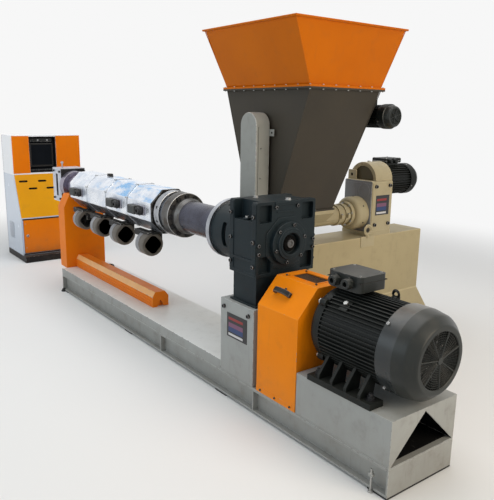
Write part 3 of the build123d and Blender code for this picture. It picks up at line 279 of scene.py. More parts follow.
orangeLook = {"colour": (0.62, 0.150, 0.002), "shade": (0.54, 0.125, 0.002), "rough": 0.36, "coat": 0.02,
              "gloss": 0.08, "dirt": 0.14, "dust": 0.10, "edge": (0.90, 0.34, 0.05), "chips": 0.38}
finishes = {
    "machineGrey": enamel("machineGrey", {
        "colour": (0.37, 0.38, 0.365), "shade": (0.32, 0.325, 0.31), "rough": 0.42, "dirt": 0.3, "dust": 0.18,
        "floorDust": 0.55}),
    # the grey paint made lighter for the bed's top: painted light on faces that look up
    "bedTopPaintedLight": enamel("bedTopPaintedLight", {
        "colour": (0.78, 0.775, 0.74), "shade": (0.72, 0.70, 0.65), "rough": 0.34, "dirt": 0.14, "dust": 0.04,
        "floorDust": 0.1}),
    "orangePaint": enamel("orangePaint", orangeLook),
    "guardYellow": enamel("guardYellow", {
        **orangeLook, "colour": (0.93, 0.260, 0.003), "shade": (0.84, 0.220, 0.003)}),
    # the orange paint made lighter: painted light on the parts that stand in more light
    "brightOrange": enamel("brightOrange", {
        **orangeLook, "colour": (0.88, 0.215, 0.004), "shade": (0.80, 0.18, 0.004)}),
    "deskYellow": enamel("deskYellow", {
        **orangeLook, "colour": (0.82, 0.36, 0.008), "shade": (0.78, 0.32, 0.008)}),
    "hopperGrey": enamel("hopperGrey", {
        "colour": (0.062, 0.054, 0.042), "shade": (0.050, 0.045, 0.037), "rough": 0.5, "dirt": 0.3, "dust": 0.2,
        "gloss": 0.1, "edge": (0.12, 0.11, 0.09)}),
    "lightGrey": enamel("lightGrey", {
        "colour": (0.32, 0.325, 0.30), "shade": (0.28, 0.28, 0.255), "rough": 0.42, "dirt": 0.25}),
    "beigePaint": enamel("beigePaint", {
        "colour": (0.44, 0.365, 0.21), "shade": (0.39, 0.32, 0.18), "rough": 0.46, "dirt": 0.2, "floorDust": 0.4,
        "chips": 0.25, "bare": (0.36, 0.30, 0.20)}),
    "creamPaint": enamel("creamPaint", {
        "colour": (0.45, 0.385, 0.24), "shade": (0.39, 0.33, 0.20), "rough": 0.42, "dirt": 0.2,
        "chips": 0.3, "bare": (0.36, 0.31, 0.22)}),
    "feederGrey": enamel("feederGrey", {
        "colour": (0.26, 0.27, 0.28), "shade": (0.22, 0.225, 0.235), "rough": 0.5, "dirt": 0.4}),
    # cream paint darkened to brown: painted shade inside the feeder's arch
    "archPaintedShade": enamel("archPaintedShade", {
        "colour": (0.15, 0.13, 0.08), "shade": (0.11, 0.095, 0.06), "rough": 0.6, "dirt": 0.5}),
    "gearboxBlueGrey": casting("gearboxBlueGrey", {
        "colour": (0.010, 0.018, 0.022), "shade": (0.007, 0.012, 0.015), "rough": 0.40, "edge": (0.030, 0.040, 0.045),
        "coat": 0.03, "dust": 0.08}),
    "motorBlack": casting("motorBlack", {
        "colour": (0.009, 0.011, 0.010), "shade": (0.006, 0.007, 0.006), "rough": 0.38, "edge": (0.030, 0.033, 0.030),
        "coat": 0.04, "dust": 0.08}),
    "cowlBlack": enamel("cowlBlack", {
        "colour": (0.022, 0.025, 0.023), "shade": (0.015, 0.017, 0.016), "rough": 0.36, "coat": 0.15, "dirt": 0.2,
        "edge": (0.07, 0.07, 0.065), "dust": 0.14}),
    # slightly lighter, glossier copy of the cowl paint: partly painted sheen on the cowl's band, and the dark grey of
    # the monitor's bars
    "darkGreyAndCowlSheen": enamel("darkGreyAndCowlSheen", {
        "colour": (0.026, 0.030, 0.031), "shade": (0.020, 0.023, 0.024), "rough": 0.28, "dirt": 0.2, "coat": 0.12,
        "gloss": 0.3, "dust": 0.3}),
    "darkSteel": steel("darkSteel", {
        "colour": (0.085, 0.090, 0.125), "shade": (0.040, 0.040, 0.058), "rough": 0.20, "lines": (40, 3, 3),
        "stain": 0.25, "relief": 0.12, "metallic": 0.9}),
    "flangeSteel": steel("flangeSteel", {
        "colour": (0.16, 0.155, 0.15), "shade": (0.09, 0.088, 0.085), "rough": 0.38, "lines": (30, 4, 4),
        "stain": 0.7, "relief": 0.3}),
    "turnedSteel": steel("turnedSteel", {
        "colour": (0.50, 0.52, 0.56), "shade": (0.36, 0.38, 0.41), "rough": 0.24, "lines": (60, 2, 2),
        "stain": 0.45}),
    "purpleSteel": steel("purpleSteel", {
        "colour": (0.42, 0.40, 0.48), "shade": (0.30, 0.28, 0.36), "rough": 0.30, "lines": (30, 6, 6), "stain": 0.4}),
    "diePlate": steel("diePlate", {
        "colour": (0.66, 0.70, 0.78), "shade": (0.54, 0.58, 0.66), "rough": 0.30, "lines": (3, 3, 40), "stain": 0.3}),
    "zincBolt": steel("zincBolt", {
        "colour": (0.55, 0.55, 0.53), "shade": (0.42, 0.42, 0.41), "rough": 0.34, "lines": (20, 20, 20),
        "stain": 0.5}),
    "blackBolt": steel("blackBolt", {
        "colour": (0.035, 0.035, 0.038), "shade": (0.02, 0.02, 0.02), "rough": 0.42, "lines": (20, 20, 20),
        "stain": 0.4, "metallic": 0.6}),
    "stainlessCladding": claddingSheet(),
    "blowerShell": enamel("blowerShell", {
        "colour": (0.15, 0.132, 0.112), "shade": (0.12, 0.106, 0.09), "rough": 0.42, "dirt": 0.3,
        "edge": (0.34, 0.34, 0.34)}),
    "blowerRim": enamel("blowerRim", {
        "colour": (0.40, 0.40, 0.41), "shade": (0.32, 0.32, 0.33), "rough": 0.38, "dirt": 0.2}),
    "ductBlack": enamel("ductBlack", {
        "colour": (0.018, 0.017, 0.017), "shade": (0.012, 0.012, 0.012), "rough": 0.5, "dirt": 0.2, "dust": 0.2}),
    "connectorBlack": plastic("connectorBlack", {
        "colour": (0.045, 0.050, 0.050), "shade": (0.03, 0.034, 0.034), "rough": 0.45}),
    "rubberPad": plastic("rubberPad", {
        "colour": (0.022, 0.022, 0.022), "shade": (0.014, 0.014, 0.014), "rough": 0.8, "grain": 0.5}),
    "handleBlack": plastic("handleBlack", {
        "colour": (0.012, 0.011, 0.010), "shade": (0.008, 0.008, 0.008), "rough": 0.32}),
    "plinthBlack": enamel("plinthBlack", {
        "colour": (0.012, 0.010, 0.012), "shade": (0.008, 0.007, 0.008), "rough": 0.4, "floorDust": 0.12, "dust": 0.1,
        "gloss": 0.1, "coat": 0.0}),
    "cabinetWhite": enamel("cabinetWhite", {
        "colour": (0.90, 0.91, 0.93), "shade": (0.85, 0.87, 0.90), "rough": 0.22, "dirt": 0.08, "coat": 0.9,
        "gloss": 0.5, "belowNeck": (0.50, 0.58, 0.70)}),
    "shadowGap": plastic("shadowGap", {
        "colour": (0.05, 0.028, 0.016), "shade": (0.035, 0.02, 0.012), "rough": 0.7}),
    "screenBlack": plastic("screenBlack", {
        "colour": (0.003, 0.005, 0.008), "shade": (0.002, 0.003, 0.005), "rough": 0.6, "grain": 0.02, "scuff": 0.05,
        "gloss": 0.1}),
    # pale orange for the duct's upper near slope: painted highlight
    "ductPaintedHighlight": enamel("ductPaintedHighlight", {
        "colour": (0.92, 0.50, 0.20), "shade": (0.86, 0.40, 0.13), "rough": 0.3, "dirt": 0.1, "coat": 0.2}),
    "meshBrown": steel("meshBrown", {
        "colour": (0.16, 0.09, 0.045), "shade": (0.10, 0.06, 0.035), "rough": 0.45, "lines": (9, 9, 9),
        "metallic": 0.6}),
    # near black: painted shade for holes, slots, recesses and hollow insides, and the black of seams and joints
    "innerDark": plastic("innerDark", {
        "colour": (0.008, 0.008, 0.008), "shade": (0.005, 0.005, 0.005), "rough": 0.8, "gloss": 0.05}),
}
print("finishes made:", len(finishes))


def labelFinish():  # blank data plate: plain colour bands by height, black at the sides
    plate = Finish("bandedPlate")
    spot = plate.node("ShaderNodeTexCoord", give="UV")
    across, band = plate.part(spot, 0), plate.part(spot, 1)
    black = (0.010, 0.009, 0.011)
    stops = [(0.0, black), (0.06, (0.60, 0.58, 0.57)), (0.16, black), (0.22, (0.010, 0.035, 0.13)),
             (0.42, (0.17, 0.06, 0.12)), (0.60, black), (0.72, (0.26, 0.012, 0.010)), (0.83, black)]
    shade = plate.node("ShaderNodeValToRGB", {"stops": stops}, {0: band})
    plate.tree.nodes["Color Ramp"].color_ramp.interpolation = "CONSTANT"
    inside = (across > 0.08) * (1 - (across > 0.80))
    shade = plate.mix(inside, black, shade)
    scratch = plate.noise(60.0, 6, 0.7)
    shade = plate.mix(scratch.within(0.6, 0.75) * 0.3, shade, (0.1, 0.1, 0.1))
    plate.feed(Base_Color=shade, Roughness=scratch * 0.3 + 0.25, Normal=plate.bump(scratch, 0.1, 0.0004))
    return plate.material


finishes["bandedPlate"] = labelFinish()

# directions of the machine
alongX, alongY, alongZ = (1, 0, 0), (0, 1, 0), (0, 0, 1)


def newShape():
    bm = bmesh.new()
    bm.faces.layers.float.new("wear")
    return bm


def turnTo(direction):
    return Vector(direction).to_track_quat("Z", "Y").to_matrix().to_4x4()


def facesOf(verts):
    return list({face for vert in verts for face in vert.link_faces})


def roundEdges(bm, edges, width, segments=2):
    wear = bm.faces.layers.float["wear"]
    made = bmesh.ops.bevel(bm, geom=list(edges), offset=width, offset_type="OFFSET", affect="EDGES", profile=0.5,
                           segments=segments, material=-1, clamp_overlap=True)
    for face in made["faces"]:
        face[wear] = 1.0


def sharpEdges(edges, angle=28):
    limit = math.radians(angle)
    return [edge for edge in edges if len(edge.link_faces) == 2 and edge.calc_face_angle(0) > limit]


def addBox(bm, low, high, width=0.0, index=0, place=None):
    middle = [(a + b) / 2 for a, b in zip(low, high)]
    size = [abs(b - a) for a, b in zip(low, high)]
    spot = (place or Matrix()) @ Matrix.Translation(middle) @ Matrix.Diagonal((*size, 1))
    verts = bmesh.ops.create_cube(bm, size=1, matrix=spot)["verts"]
    for face in facesOf(verts):
        face.material_index = index
    if width:
        roundEdges(bm, {edge for vert in verts for edge in vert.link_edges}, width)


def addRod(bm, start, end, radius, sides=24, index=0, width=0.0):
    start, end = Vector(start), Vector(end)
    spot = Matrix.Translation((start + end) / 2) @ turnTo(end - start)
    verts = bmesh.ops.create_cone(bm, cap_ends=True, segments=sides, radius1=radius, radius2=radius,
                                  depth=(end - start).length, matrix=spot)["verts"]
    faces = facesOf(verts)
    for face in faces:
        face.material_index = index
    if width:
        roundEdges(bm, sharpEdges({edge for face in faces for edge in face.edges}, 50), width)


def addTurned(bm, outline, start, direction, sides=48, index=0, closed=False):
    # outline holds (distance along, radius) points, turned round the axis through start
    spot = Matrix.Translation(start) @ turnTo(direction)
    known = set(bm.faces)
    verts = [bm.verts.new(spot @ Vector((radius, 0, along))) for along, radius in outline]
    edges = [bm.edges.new(pair) for pair in zip(verts, verts[1:])]
    if closed:
        edges.append(bm.edges.new((verts[-1], verts[0])))
    bmesh.ops.spin(bm, geom=verts + edges, cent=start, axis=Vector(direction).normalized(), dvec=(0, 0, 0),
                   angle=math.tau, steps=sides, use_merge=True, use_duplicate=False)
    faces = [face for face in bm.faces if face not in known]
    verts = list({vert for face in faces for vert in face.verts})
    bmesh.ops.remove_doubles(bm, verts=verts, dist=1e-5)
    faces = [face for face in bm.faces if face not in known]
    bmesh.ops.recalc_face_normals(bm, faces=faces)
    for face in faces:
        face.material_index = index


def addPrism(bm, outline, along, index=0, width=0.0):
    # outline holds points of a flat face, pushed along a vector into a closed solid
    face = bm.faces.new([bm.verts.new(point) for point in outline])
    made = bmesh.ops.extrude_face_region(bm, geom=[face])["geom"]
    moved = [part for part in made if isinstance(part, bmesh.types.BMVert)]
    bmesh.ops.translate(bm, verts=moved, vec=along)
    faces = facesOf(moved + list(face.verts))
    bmesh.ops.recalc_face_normals(bm, faces=faces)
    for each in faces:
        each.material_index = index
    if width:
        roundEdges(bm, sharpEdges({edge for each in faces for edge in each.edges}), width)


def addSections(bm, sections, start, direction, sides=32, index=0, capEnd=True, capStart=True, roll=0.0):
    # sections hold (distance along, radius, squareness), joined by bridged rings
    spot = Matrix.Translation(start) @ turnTo(direction) @ Matrix.Rotation(roll, 4, "Z")
    rings = []
    for along, radius, square in sections:
        verts = bmesh.ops.create_circle(bm, cap_ends=False, segments=sides, radius=1)["verts"]
        for vert in verts:
            x, y = vert.co.x, vert.co.y
            vert.co = (math.copysign(abs(x) ** square, x) * radius, math.copysign(abs(y) ** square, y) * radius,
                       along)
        bmesh.ops.transform(bm, matrix=spot, verts=verts)
        rings.append(list({edge for vert in verts for edge in vert.link_edges}))
    made = []
    for first, second in zip(rings, rings[1:]):
        made += bmesh.ops.bridge_loops(bm, edges=first + second)["faces"]
    for ring, wanted in ((rings[0], capStart), (rings[-1], capEnd)):
        if wanted:
            made += bmesh.ops.contextual_create(bm, geom=ring)["faces"]
    bmesh.ops.recalc_face_normals(bm, faces=made)
    for face in made:
        face.material_index = index


def addBolt(bm, spot, direction, size, index=0):
    # hexagon head on a washer, size is the thread's diameter
    out = Vector(direction).normalized()
    spot = Vector(spot)
    addRod(bm, spot - out * 0.001, spot + out * 0.14 * size, size * 1.12, 14, index)
    addRod(bm, spot, spot + out * 0.78 * size, size * 0.88, 6, index)


def addScrew(bm, spot, direction, size, index=0):
    # socket head screw; the socket is a thin dark hexagon in the next finish: painted shade for its recess
    out = Vector(direction).normalized()
    spot = Vector(spot)
    addRod(bm, spot - out * 0.001, spot + out * size * 0.9, size * 0.78, 12, index, width=size * 0.08)
    addRod(bm, spot + out * size * 0.85, spot + out * size * 0.91, size * 0.42, 6, index + 1)


def roundSpots(centre, direction, radius, count, start=0.0):
    spot = Matrix.Translation(centre) @ turnTo(direction)
    turns = [start + math.tau * step / count for step in range(count)]
    return [spot @ Vector((math.cos(turn) * radius, math.sin(turn) * radius, 0)) for turn in turns]


def octagon(x, reach):  # corner points of an eight-sided face across the barrel's axis
    turns = [math.pi / 8 + corner * math.pi / 4 for corner in range(8)]
    return [(x, math.cos(turn) * reach, barrel["axis"] + math.sin(turn) * reach) for turn in turns]


def publish(bm, name, finishNames, body="machine", replaced=(), smooth=35, weighted=True):
    mesh = bpy.data.meshes.new(name)
    limit = math.radians(smooth)
    for face in bm.faces:
        face.smooth = True
    for edge in bm.edges:
        edge.smooth = len(edge.link_faces) != 2 or edge.calc_face_angle(0) < limit
    bm.to_mesh(mesh)
    bm.free()
    piece = bpy.data.objects.new(name, mesh)
    bpy.context.scene.collection.objects.link(piece)
    for finishName in [finishNames] if isinstance(finishNames, str) else finishNames:
        mesh.materials.append(finishes[finishName])
    if weighted:
        piece.modifiers.new("flatFaces", "WEIGHTED_NORMAL").keep_sharp = True
    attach(piece, body)
    if replaced:
        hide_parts(*replaced)


def copyOf(node):  # the CAD mesh welded, with its flat faces whole again
    bm = newShape()
    bm.from_mesh(nodes[node].data)
    wear = bm.faces.layers.float.get("wear") or bm.faces.layers.float.new("wear")
    bmesh.ops.remove_doubles(bm, verts=bm.verts, dist=2e-5)
    bmesh.ops.dissolve_limit(bm, angle_limit=math.radians(0.6), verts=bm.verts, edges=bm.edges,
                             delimit={"NORMAL"})
    for face in bm.faces:
        face.material_index = 0
        face[wear] = 0.0
    return bm


def soften(node, width, finishNames, name, pick=None, segments=2):
    # the CAD shape with its edges rounded as folded sheet or a casting is
    bm = copyOf(node)
    if width:
        roundEdges(bm, sharpEdges(bm.edges, 30), width, segments)
    if pick:
        for face in bm.faces:
            face.material_index = pick(face)
    publish(bm, name, finishNames, bodyOf(node), (node,))


def bodyOf(node):
    return "door" if node == "cabinet_door" else "machine"


def looksInward(face, middle):
    # true for the inside walls of a hollow plinth round the given X
    centre = face.calc_center_median()
    return (centre.x - middle) * face.normal.x + centre.y * face.normal.y < -0.01 and abs(face.normal.z) < 0.5


# skid, bed, pedestal and plinth
skid = {"edge": 0.002, "jackX": 3.940, "jackY": 0.251, "jackRadius": 0.0056}

soften("skid_rails", skid["edge"], "machineGrey", "skidRails")
soften("skid_cross_members", skid["edge"], "machineGrey", "skidCrossMembers")
soften("levelling_pads", 0.002, "rubberPad", "levellingPads")
soften("deck_plate", 0.0015, "machineGrey", "deckPlate")
# the bed's top faces take the lighter copy of the grey: painted light
soften("bed_box", 0.003, ["machineGrey", "bedTopPaintedLight"], "bedBox", lambda face: 1 if face.normal.z > 0.9 else 0)
soften("gearbox_pedestal", 0.003, "machineGrey", "gearboxPedestal")
# the plinth's inside walls take the near black: painted shade
soften("motor_plinth", 0.003, ["machineGrey", "innerDark"], "motorPlinth", lambda face: int(looksInward(face, 3.74)))


def jackBolts():
    bm = newShape()
    x = skid["jackX"]
    for side in (-1, 1):
        addBox(bm, (x - 0.013, side * 0.242, 0.084), (x + 0.013, side * 0.260, 0.098), 0.002)
        y = side * skid["jackY"]
        addRod(bm, (x, y, 0.010), (x, y, 0.122), skid["jackRadius"], 12, 1)
        addRod(bm, (x, y, 0.000), (x, y, 0.010), 0.013, 16, 1, 0.002)
        addRod(bm, (x, y, 0.098), (x, y, 0.107), 0.010, 6, 1)
        # rubber foot of the corner at the die end
        addTurned(bm, [(0.0, 0.0), (0.0, 0.026), (0.008, 0.026), (0.014, 0.020), (0.030, 0.013), (0.030, 0.0)],
                  (-0.022, side * 0.246, 0.0), alongZ, 28, 2)
    publish(bm, "jackBolts", ["machineGrey", "zincBolt", "rubberPad"])


def bedFittings():
    # rubber grommet of the cable hole in the bed
    bm = newShape()
    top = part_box("bed_box")[1].z
    addTurned(bm, [(0.0, 0.022), (0.0, 0.046), (0.018, 0.046), (0.027, 0.040), (0.030, 0.032), (0.026, 0.024),
                   (0.006, 0.022)], (0.166, 0.155, top - 0.0005), alongZ, 40, 0, True)
    addRod(bm, (0.166, 0.155, top - 0.0005), (0.166, 0.155, top + 0.004), 0.023, 24, 1)
    publish(bm, "bedFittings", ["handleBlack", "shadowGap"])


def weldBeads():
    # rippled beads where the motor plinth and the gearbox pedestal stand on the deck
    bm = newShape()
    runs = []
    for low, high in (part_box("motor_plinth"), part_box("gearbox_pedestal")):
        for y in (low.y + 0.0005, high.y - 0.0005):
            runs.append((Vector((low.x + 0.01, y, low.z + 0.001)), Vector((high.x - 0.01, y, low.z + 0.001))))
    for start, end in runs:
        count = int((end - start).length / 0.0065)
        for step in range(count):
            spot = start.lerp(end, (step + 0.5) / count)
            wobble = random.uniform(0.85, 1.15)
            shape = Matrix.Translation(spot) @ Matrix.Diagonal((0.0055 * wobble, 0.0042, 0.0038, 1))
            bmesh.ops.create_icosphere(bm, subdivisions=1, radius=1, matrix=shape)
    publish(bm, "weldBeads", "machineGrey", weighted=False, smooth=80)


def plinthShadeFloor():
    # dark deck inside the open end of the plinth: painted shade
    bm = newShape()
    addBox(bm, (3.440, -0.224, 0.1630), (4.000, 0.224, 0.1650), 0.0005)
    publish(bm, "plinthShadeFloor", "innerDark")


jackBolts()
plinthShadeFloor()
bedFittings()
weldBeads()
print("skid done")


# barrel, cladding, flanges and die
barrel = {"zones": 4, "start": 0.055, "pitch": 0.400, "gap": 0.004, "flats": 0.334, "axis": 1.0, "screw": 0.005,
          "lastShift": 0.070}


def claddingZones():
    bm = newShape()
    wear = bm.faces.layers.float["wear"]
    outer = barrel["flats"] / 2 / math.cos(math.pi / 8)
    for zone in range(barrel["zones"]):
        left = barrel["start"] + zone * barrel["pitch"]
        length = barrel["pitch"] - barrel["gap"]
        turn = Matrix.Translation((left, 0, barrel["axis"])) @ Matrix.Rotation(math.pi / 2, 4, "Y")
        turn = turn @ Matrix.Rotation(math.pi / 8, 4, "Z")
        ring = bmesh.ops.create_circle(bm, cap_ends=False, segments=8, radius=outer - 0.0015, matrix=turn)["verts"]
        edges = list({edge for vert in ring for edge in vert.link_edges})
        previous = edges
        # lip, step, long run in slices for the dents, step and lip
        run = [0.0125 + (length - 0.025) * step / 12 for step in range(13)]
        marks = [0.012] + run + [length - 0.012, length]
        shrink = [0] + [-1] * 13 + [0, 0]
        for mark, pinch in zip(marks, shrink):
            made = bmesh.ops.extrude_edge_only(bm, edges=previous)["geom"]
            verts = [part for part in made if isinstance(part, bmesh.types.BMVert)]
            previous = [part for part in made if isinstance(part, bmesh.types.BMEdge)
                        and all(vert in verts for vert in part.verts)]
            scale = (outer - 0.0015 + 0.0015 * (1 + pinch)) / outer
            for vert in verts:
                flat = Vector((0, vert.co.y, vert.co.z - barrel["axis"])).normalized() * outer * scale
                vert.co = (left + mark, flat.y, flat.z + barrel["axis"])
        for loop in (edges, previous):
            cap = bmesh.ops.contextual_create(bm, geom=loop)["faces"]
            bmesh.ops.inset_region(bm, faces=cap, thickness=0.02, depth=0.0)
    bmesh.ops.recalc_face_normals(bm, faces=bm.faces)
    longEdges = [edge for edge in bm.edges if len(edge.link_faces) == 2 and edge.calc_face_angle(0) > 0.5
                 and abs(edge.verts[0].co.x - edge.verts[1].co.x) > 0.01]
    made = bmesh.ops.bevel(bm, geom=longEdges, offset=0.004, offset_type="OFFSET", affect="EDGES", profile=0.5,
                           segments=3, material=-1, clamp_overlap=True)
    for face in made["faces"]:
        face[wear] = 0.6
    lengthwise = [edge for edge in bm.edges if abs(edge.verts[0].co.x - edge.verts[1].co.x) < 0.001
                  and edge.calc_length() > 0.08]
    bmesh.ops.subdivide_edges(bm, edges=lengthwise, cuts=3, use_grid_fill=True)
    for vert in bm.verts:
        out = Vector((0, vert.co.y, vert.co.z - barrel["axis"]))
        dent = noise.noise(vert.co * 9.0) * 0.0022 - 0.0012
        vert.co += out.normalized() * min(dent, 0.0)
    publish(bm, "claddingZones", "stainlessCladding", replaced=("cladding",), smooth=30)


def claddingTrim():
    # black end plate (painted shade for the open end), plate at the die end, screws at the joints and the clip on the
    # top edge
    bm = newShape()
    end = barrel["start"] + barrel["zones"] * barrel["pitch"] - barrel["gap"]
    outer = barrel["flats"] / 2 / math.cos(math.pi / 8)
    # the first plate is black: painted shade for the dark open end of the cladding
    for left, right, reach, index in ((end, end + 0.018, outer - 0.002, 0), (0.043, 0.055, outer - 0.03, 1)):
        addPrism(bm, octagon(left, reach), (right - left, 0, 0), index, 0.002)
    for zone in range(1, barrel["zones"]):
        x = barrel["start"] + zone * barrel["pitch"] - 0.002
        for side in range(8):
            turn = side * math.pi / 4
            out = Vector((0, math.cos(turn), math.sin(turn)))
            for step in (-0.3, 0.3):
                across = Vector((0, -out.z, out.y)) * barrel["flats"] * 0.41 * step * 1.6
                for shift in (-0.016, 0.016):
                    spot = Vector((x + shift, 0, barrel["axis"])) + out * (barrel["flats"] / 2 - 0.0025) + across
                    addRod(bm, spot, spot + out * 0.0035, barrel["screw"], 10, 2)
    addBox(bm, (0.555, -0.012, 1.166), (0.640, 0.012, 1.176), 0.002, 0)
    addBox(bm, (0.575, -0.020, 1.172), (0.618, 0.020, 1.190), 0.003, 0)
    publish(bm, "claddingTrim", ["ductBlack", "purpleSteel", "zincBolt"])


def blowerUnits():
    bm = newShape()
    for zone in range(barrel["zones"]):
        x = barrel["start"] + (zone + 0.5) * barrel["pitch"] + (barrel["lastShift"] if zone == 3 else 0)
        centre = Vector((x - 0.065, -0.117, barrel["axis"] - 0.257))
        # drum with three raised rims, then the flat front with a rounded diamond mouth
        rims = [(0.0, 0.060, 1), (0.0, 0.082, 1)]
        for rim in range(3):
            at = 0.002 + rim * 0.017
            rims += [(at, 0.086, 1), (at + 0.004, 0.0885, 1), (at + 0.009, 0.0885, 1), (at + 0.012, 0.086, 1),
                     (at + 0.0125, 0.080, 1), (at + 0.016, 0.080, 1)]
        addSections(bm, rims, centre, alongX, 40, 1, False)
        turned = math.pi / 4
        addSections(bm, [(0.052, 0.080, 1), (0.054, 0.087, 1), (0.060, 0.0885, 1), (0.104, 0.090, 1),
                         (0.122, 0.089, 1), (0.129, 0.085, 1), (0.130, 0.080, 1), (0.130, 0.068, 0.85),
                         (0.130, 0.060, 0.6), (0.128, 0.056, 0.5)], centre, alongX, 40, 0, False, False, turned)
        addSections(bm, [(0.128, 0.056, 0.5), (0.120, 0.055, 0.5), (0.075, 0.053, 0.5), (0.060, 0.045, 0.6)],
                    centre, alongX, 40, 2, True, False, turned)
        addTurned(bm, [(0.070, 0.0), (0.082, 0.006), (0.082, 0.014), (0.072, 0.018)], centre, alongX, 20, 2)
        for blade in range(9):
            turn = Matrix.Rotation(math.tau * blade / 9, 4, "X")
            spot = Matrix.Translation(centre) @ turn
            addBox(bm, (0.066, 0.012, -0.001), (0.080, 0.040, 0.001), 0, 2, spot)
        # duct up to the cladding, its flange and the side terminal
        addBox(bm, (x - 0.055, -0.117, barrel["axis"] - 0.257), (x + 0.055, -0.030, barrel["axis"] - 0.168), 0.006, 2)
        addBox(bm, (x - 0.066, -0.126, barrel["axis"] - 0.180), (x + 0.066, -0.022, barrel["axis"] - 0.168), 0.002, 2)
        addBox(bm, (x - 0.040, -0.060, barrel["axis"] - 0.300), (x + 0.020, -0.028, barrel["axis"] - 0.240), 0.004, 2)
        addBox(bm, (x - 0.165, -0.158, barrel["axis"] - 0.206), (x + 0.060, -0.100, barrel["axis"] - 0.160), 0.005, 2)
        for spot in roundSpots(centre + Vector((0.1265, 0, 0)), alongX, 0.076, 4, math.pi / 4):
            addRod(bm, spot, spot + Vector((0.003, 0, 0)), 0.004, 8, 3)
    publish(bm, "blowerUnits", ["blowerShell", "blowerRim", "ductBlack", "zincBolt"],
            replaced=("blowers",))


def heaterConnectors():
    # square housings with a lever, next to a knurled round nut
    bm = newShape()
    face = -barrel["flats"] / 2
    for zone in (0, 2, 3):
        x = barrel["start"] + (zone + 0.5) * barrel["pitch"]
        z = barrel["axis"]
        addBox(bm, (x - 0.100, face - 0.006, z - 0.036), (x + 0.100, face, z + 0.036), 0.002, 2)
        addBox(bm, (x - 0.096, face - 0.046, z - 0.034), (x + 0.012, face - 0.004, z + 0.034), 0.004, 0)
        addBox(bm, (x - 0.090, face - 0.050, z - 0.028), (x + 0.006, face - 0.042, z + 0.028), 0.003, 0)
        addTurned(bm, [(0.0, 0.033), (0.006, 0.035), (0.022, 0.035), (0.026, 0.030), (0.038, 0.030), (0.043, 0.024),
                       (0.043, 0.014), (0.024, 0.013), (0.024, 0.0)], (x + 0.054, face - 0.003, z), (0, -1, 0), 28, 1)
        for spot in roundSpots((x + 0.054, face - 0.014, z), (0, -1, 0), 0.035, 18):
            addRod(bm, spot, spot + Vector((0, -0.010, 0)), 0.0026, 6, 1)
        for corner in (-1, 1):
            for level in (-1, 1):
                addRod(bm, (x + corner * 0.093, face - 0.005, z + level * 0.030),
                       (x + corner * 0.093, face - 0.009, z + level * 0.030), 0.003, 8, 3)
    publish(bm, "heaterConnectors", ["connectorBlack", "blackBolt", "purpleSteel", "zincBolt"],
            replaced=("connector_boxes",))


def barrelFasteners():
    bm = newShape()
    axis = Vector((0, 0, barrel["axis"]))
    # bolts of the round die flange, of the dark barrel flange and of the bright feed ring
    circles = [(-0.200, 1, 0.122, 0.0, 0.016, 0), (1.890, 1, 0.138, 0.0, 0.018, 1),
               (1.800, -1, 0.138, 0.26, 0.018, 1), (2.432, -1, 0.150, 0.13, 0.014, 1)]
    for x, way, radius, start, size, index in circles:
        for spot in roundSpots(axis + Vector((x, 0, 0)), (way, 0, 0), radius, 12, start):
            addBolt(bm, spot, (way, 0, 0), size, index)
    for y in (-0.150, 0.150):
        spot = axis + Vector((1.725, y, 0))
        addRod(bm, spot + Vector((0, 0, 0.06)), spot - Vector((0, 0, 0.06)), 0.010, 12, 1)
    # rings round the corner screws of the die block
    for y in (-0.091, 0.091):
        for z in (-0.131, 0.131):
            addTurned(bm, [(0.0, 0.0055), (0.0, 0.013), (0.002, 0.013), (0.002, 0.0055)],
                      (-0.510, y, barrel["axis"] + z), (-1, 0, 0), 20, 2, True)
    publish(bm, "barrelFasteners", ["purpleSteel", "blackBolt", "turnedSteel", "innerDark"])


def ductRidges():
    # folded ridges along the near side of the cable duct
    bm = newShape()
    low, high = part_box("cable_duct")
    for z in (low.z + 0.012, low.z + 0.036, low.z + 0.060):
        addBox(bm, (low.x + 0.004, low.y - 0.004, z), (high.x - 0.030, low.y + 0.001, z + 0.010), 0.002)
    # in the lighter orange of painted light, as the duct
    publish(bm, "ductRidges", "brightOrange")


def dieFittings():
    bm = newShape()
    low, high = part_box("die_block")
    middle = (low.x + high.x) / 2
    # dark slot insert with a black bar, corner screws and the black cover on the inner face
    addBox(bm, (middle - 0.024, low.y + 0.004, 1.0 - 0.105), (middle + 0.024, low.y + 0.019, 1.0 + 0.105), 0.002, 1)
    addBox(bm, (middle - 0.010, low.y + 0.001, 1.0 - 0.075), (middle + 0.010, low.y + 0.010, 1.0 + 0.075), 0.003, 4)
    for x in (low.x + 0.030, high.x - 0.030):
        for z in (low.z + 0.030, high.z - 0.030):
            addScrew(bm, (x, low.y, z), (0, -1, 0), 0.014, 2)
            addScrew(bm, (x, high.y, z), alongY, 0.014, 2)
    addBox(bm, (high.x - 0.0005, low.y + 0.004, low.z + 0.004), (high.x + 0.003, high.y - 0.004, high.z - 0.004),
           0.001, 1)
    knob = Vector((middle, low.y + 0.060, high.z))
    addRod(bm, knob, knob + Vector((0, 0, 0.045)), 0.006, 12, 0)
    addTurned(bm, [(0.040, 0.0), (0.042, 0.010), (0.050, 0.014), (0.060, 0.012), (0.066, 0.0)], knob, alongZ, 20)
    publish(bm, "dieFittings", ["turnedSteel", "ductBlack", "blackBolt", "innerDark", "screenBlack"])


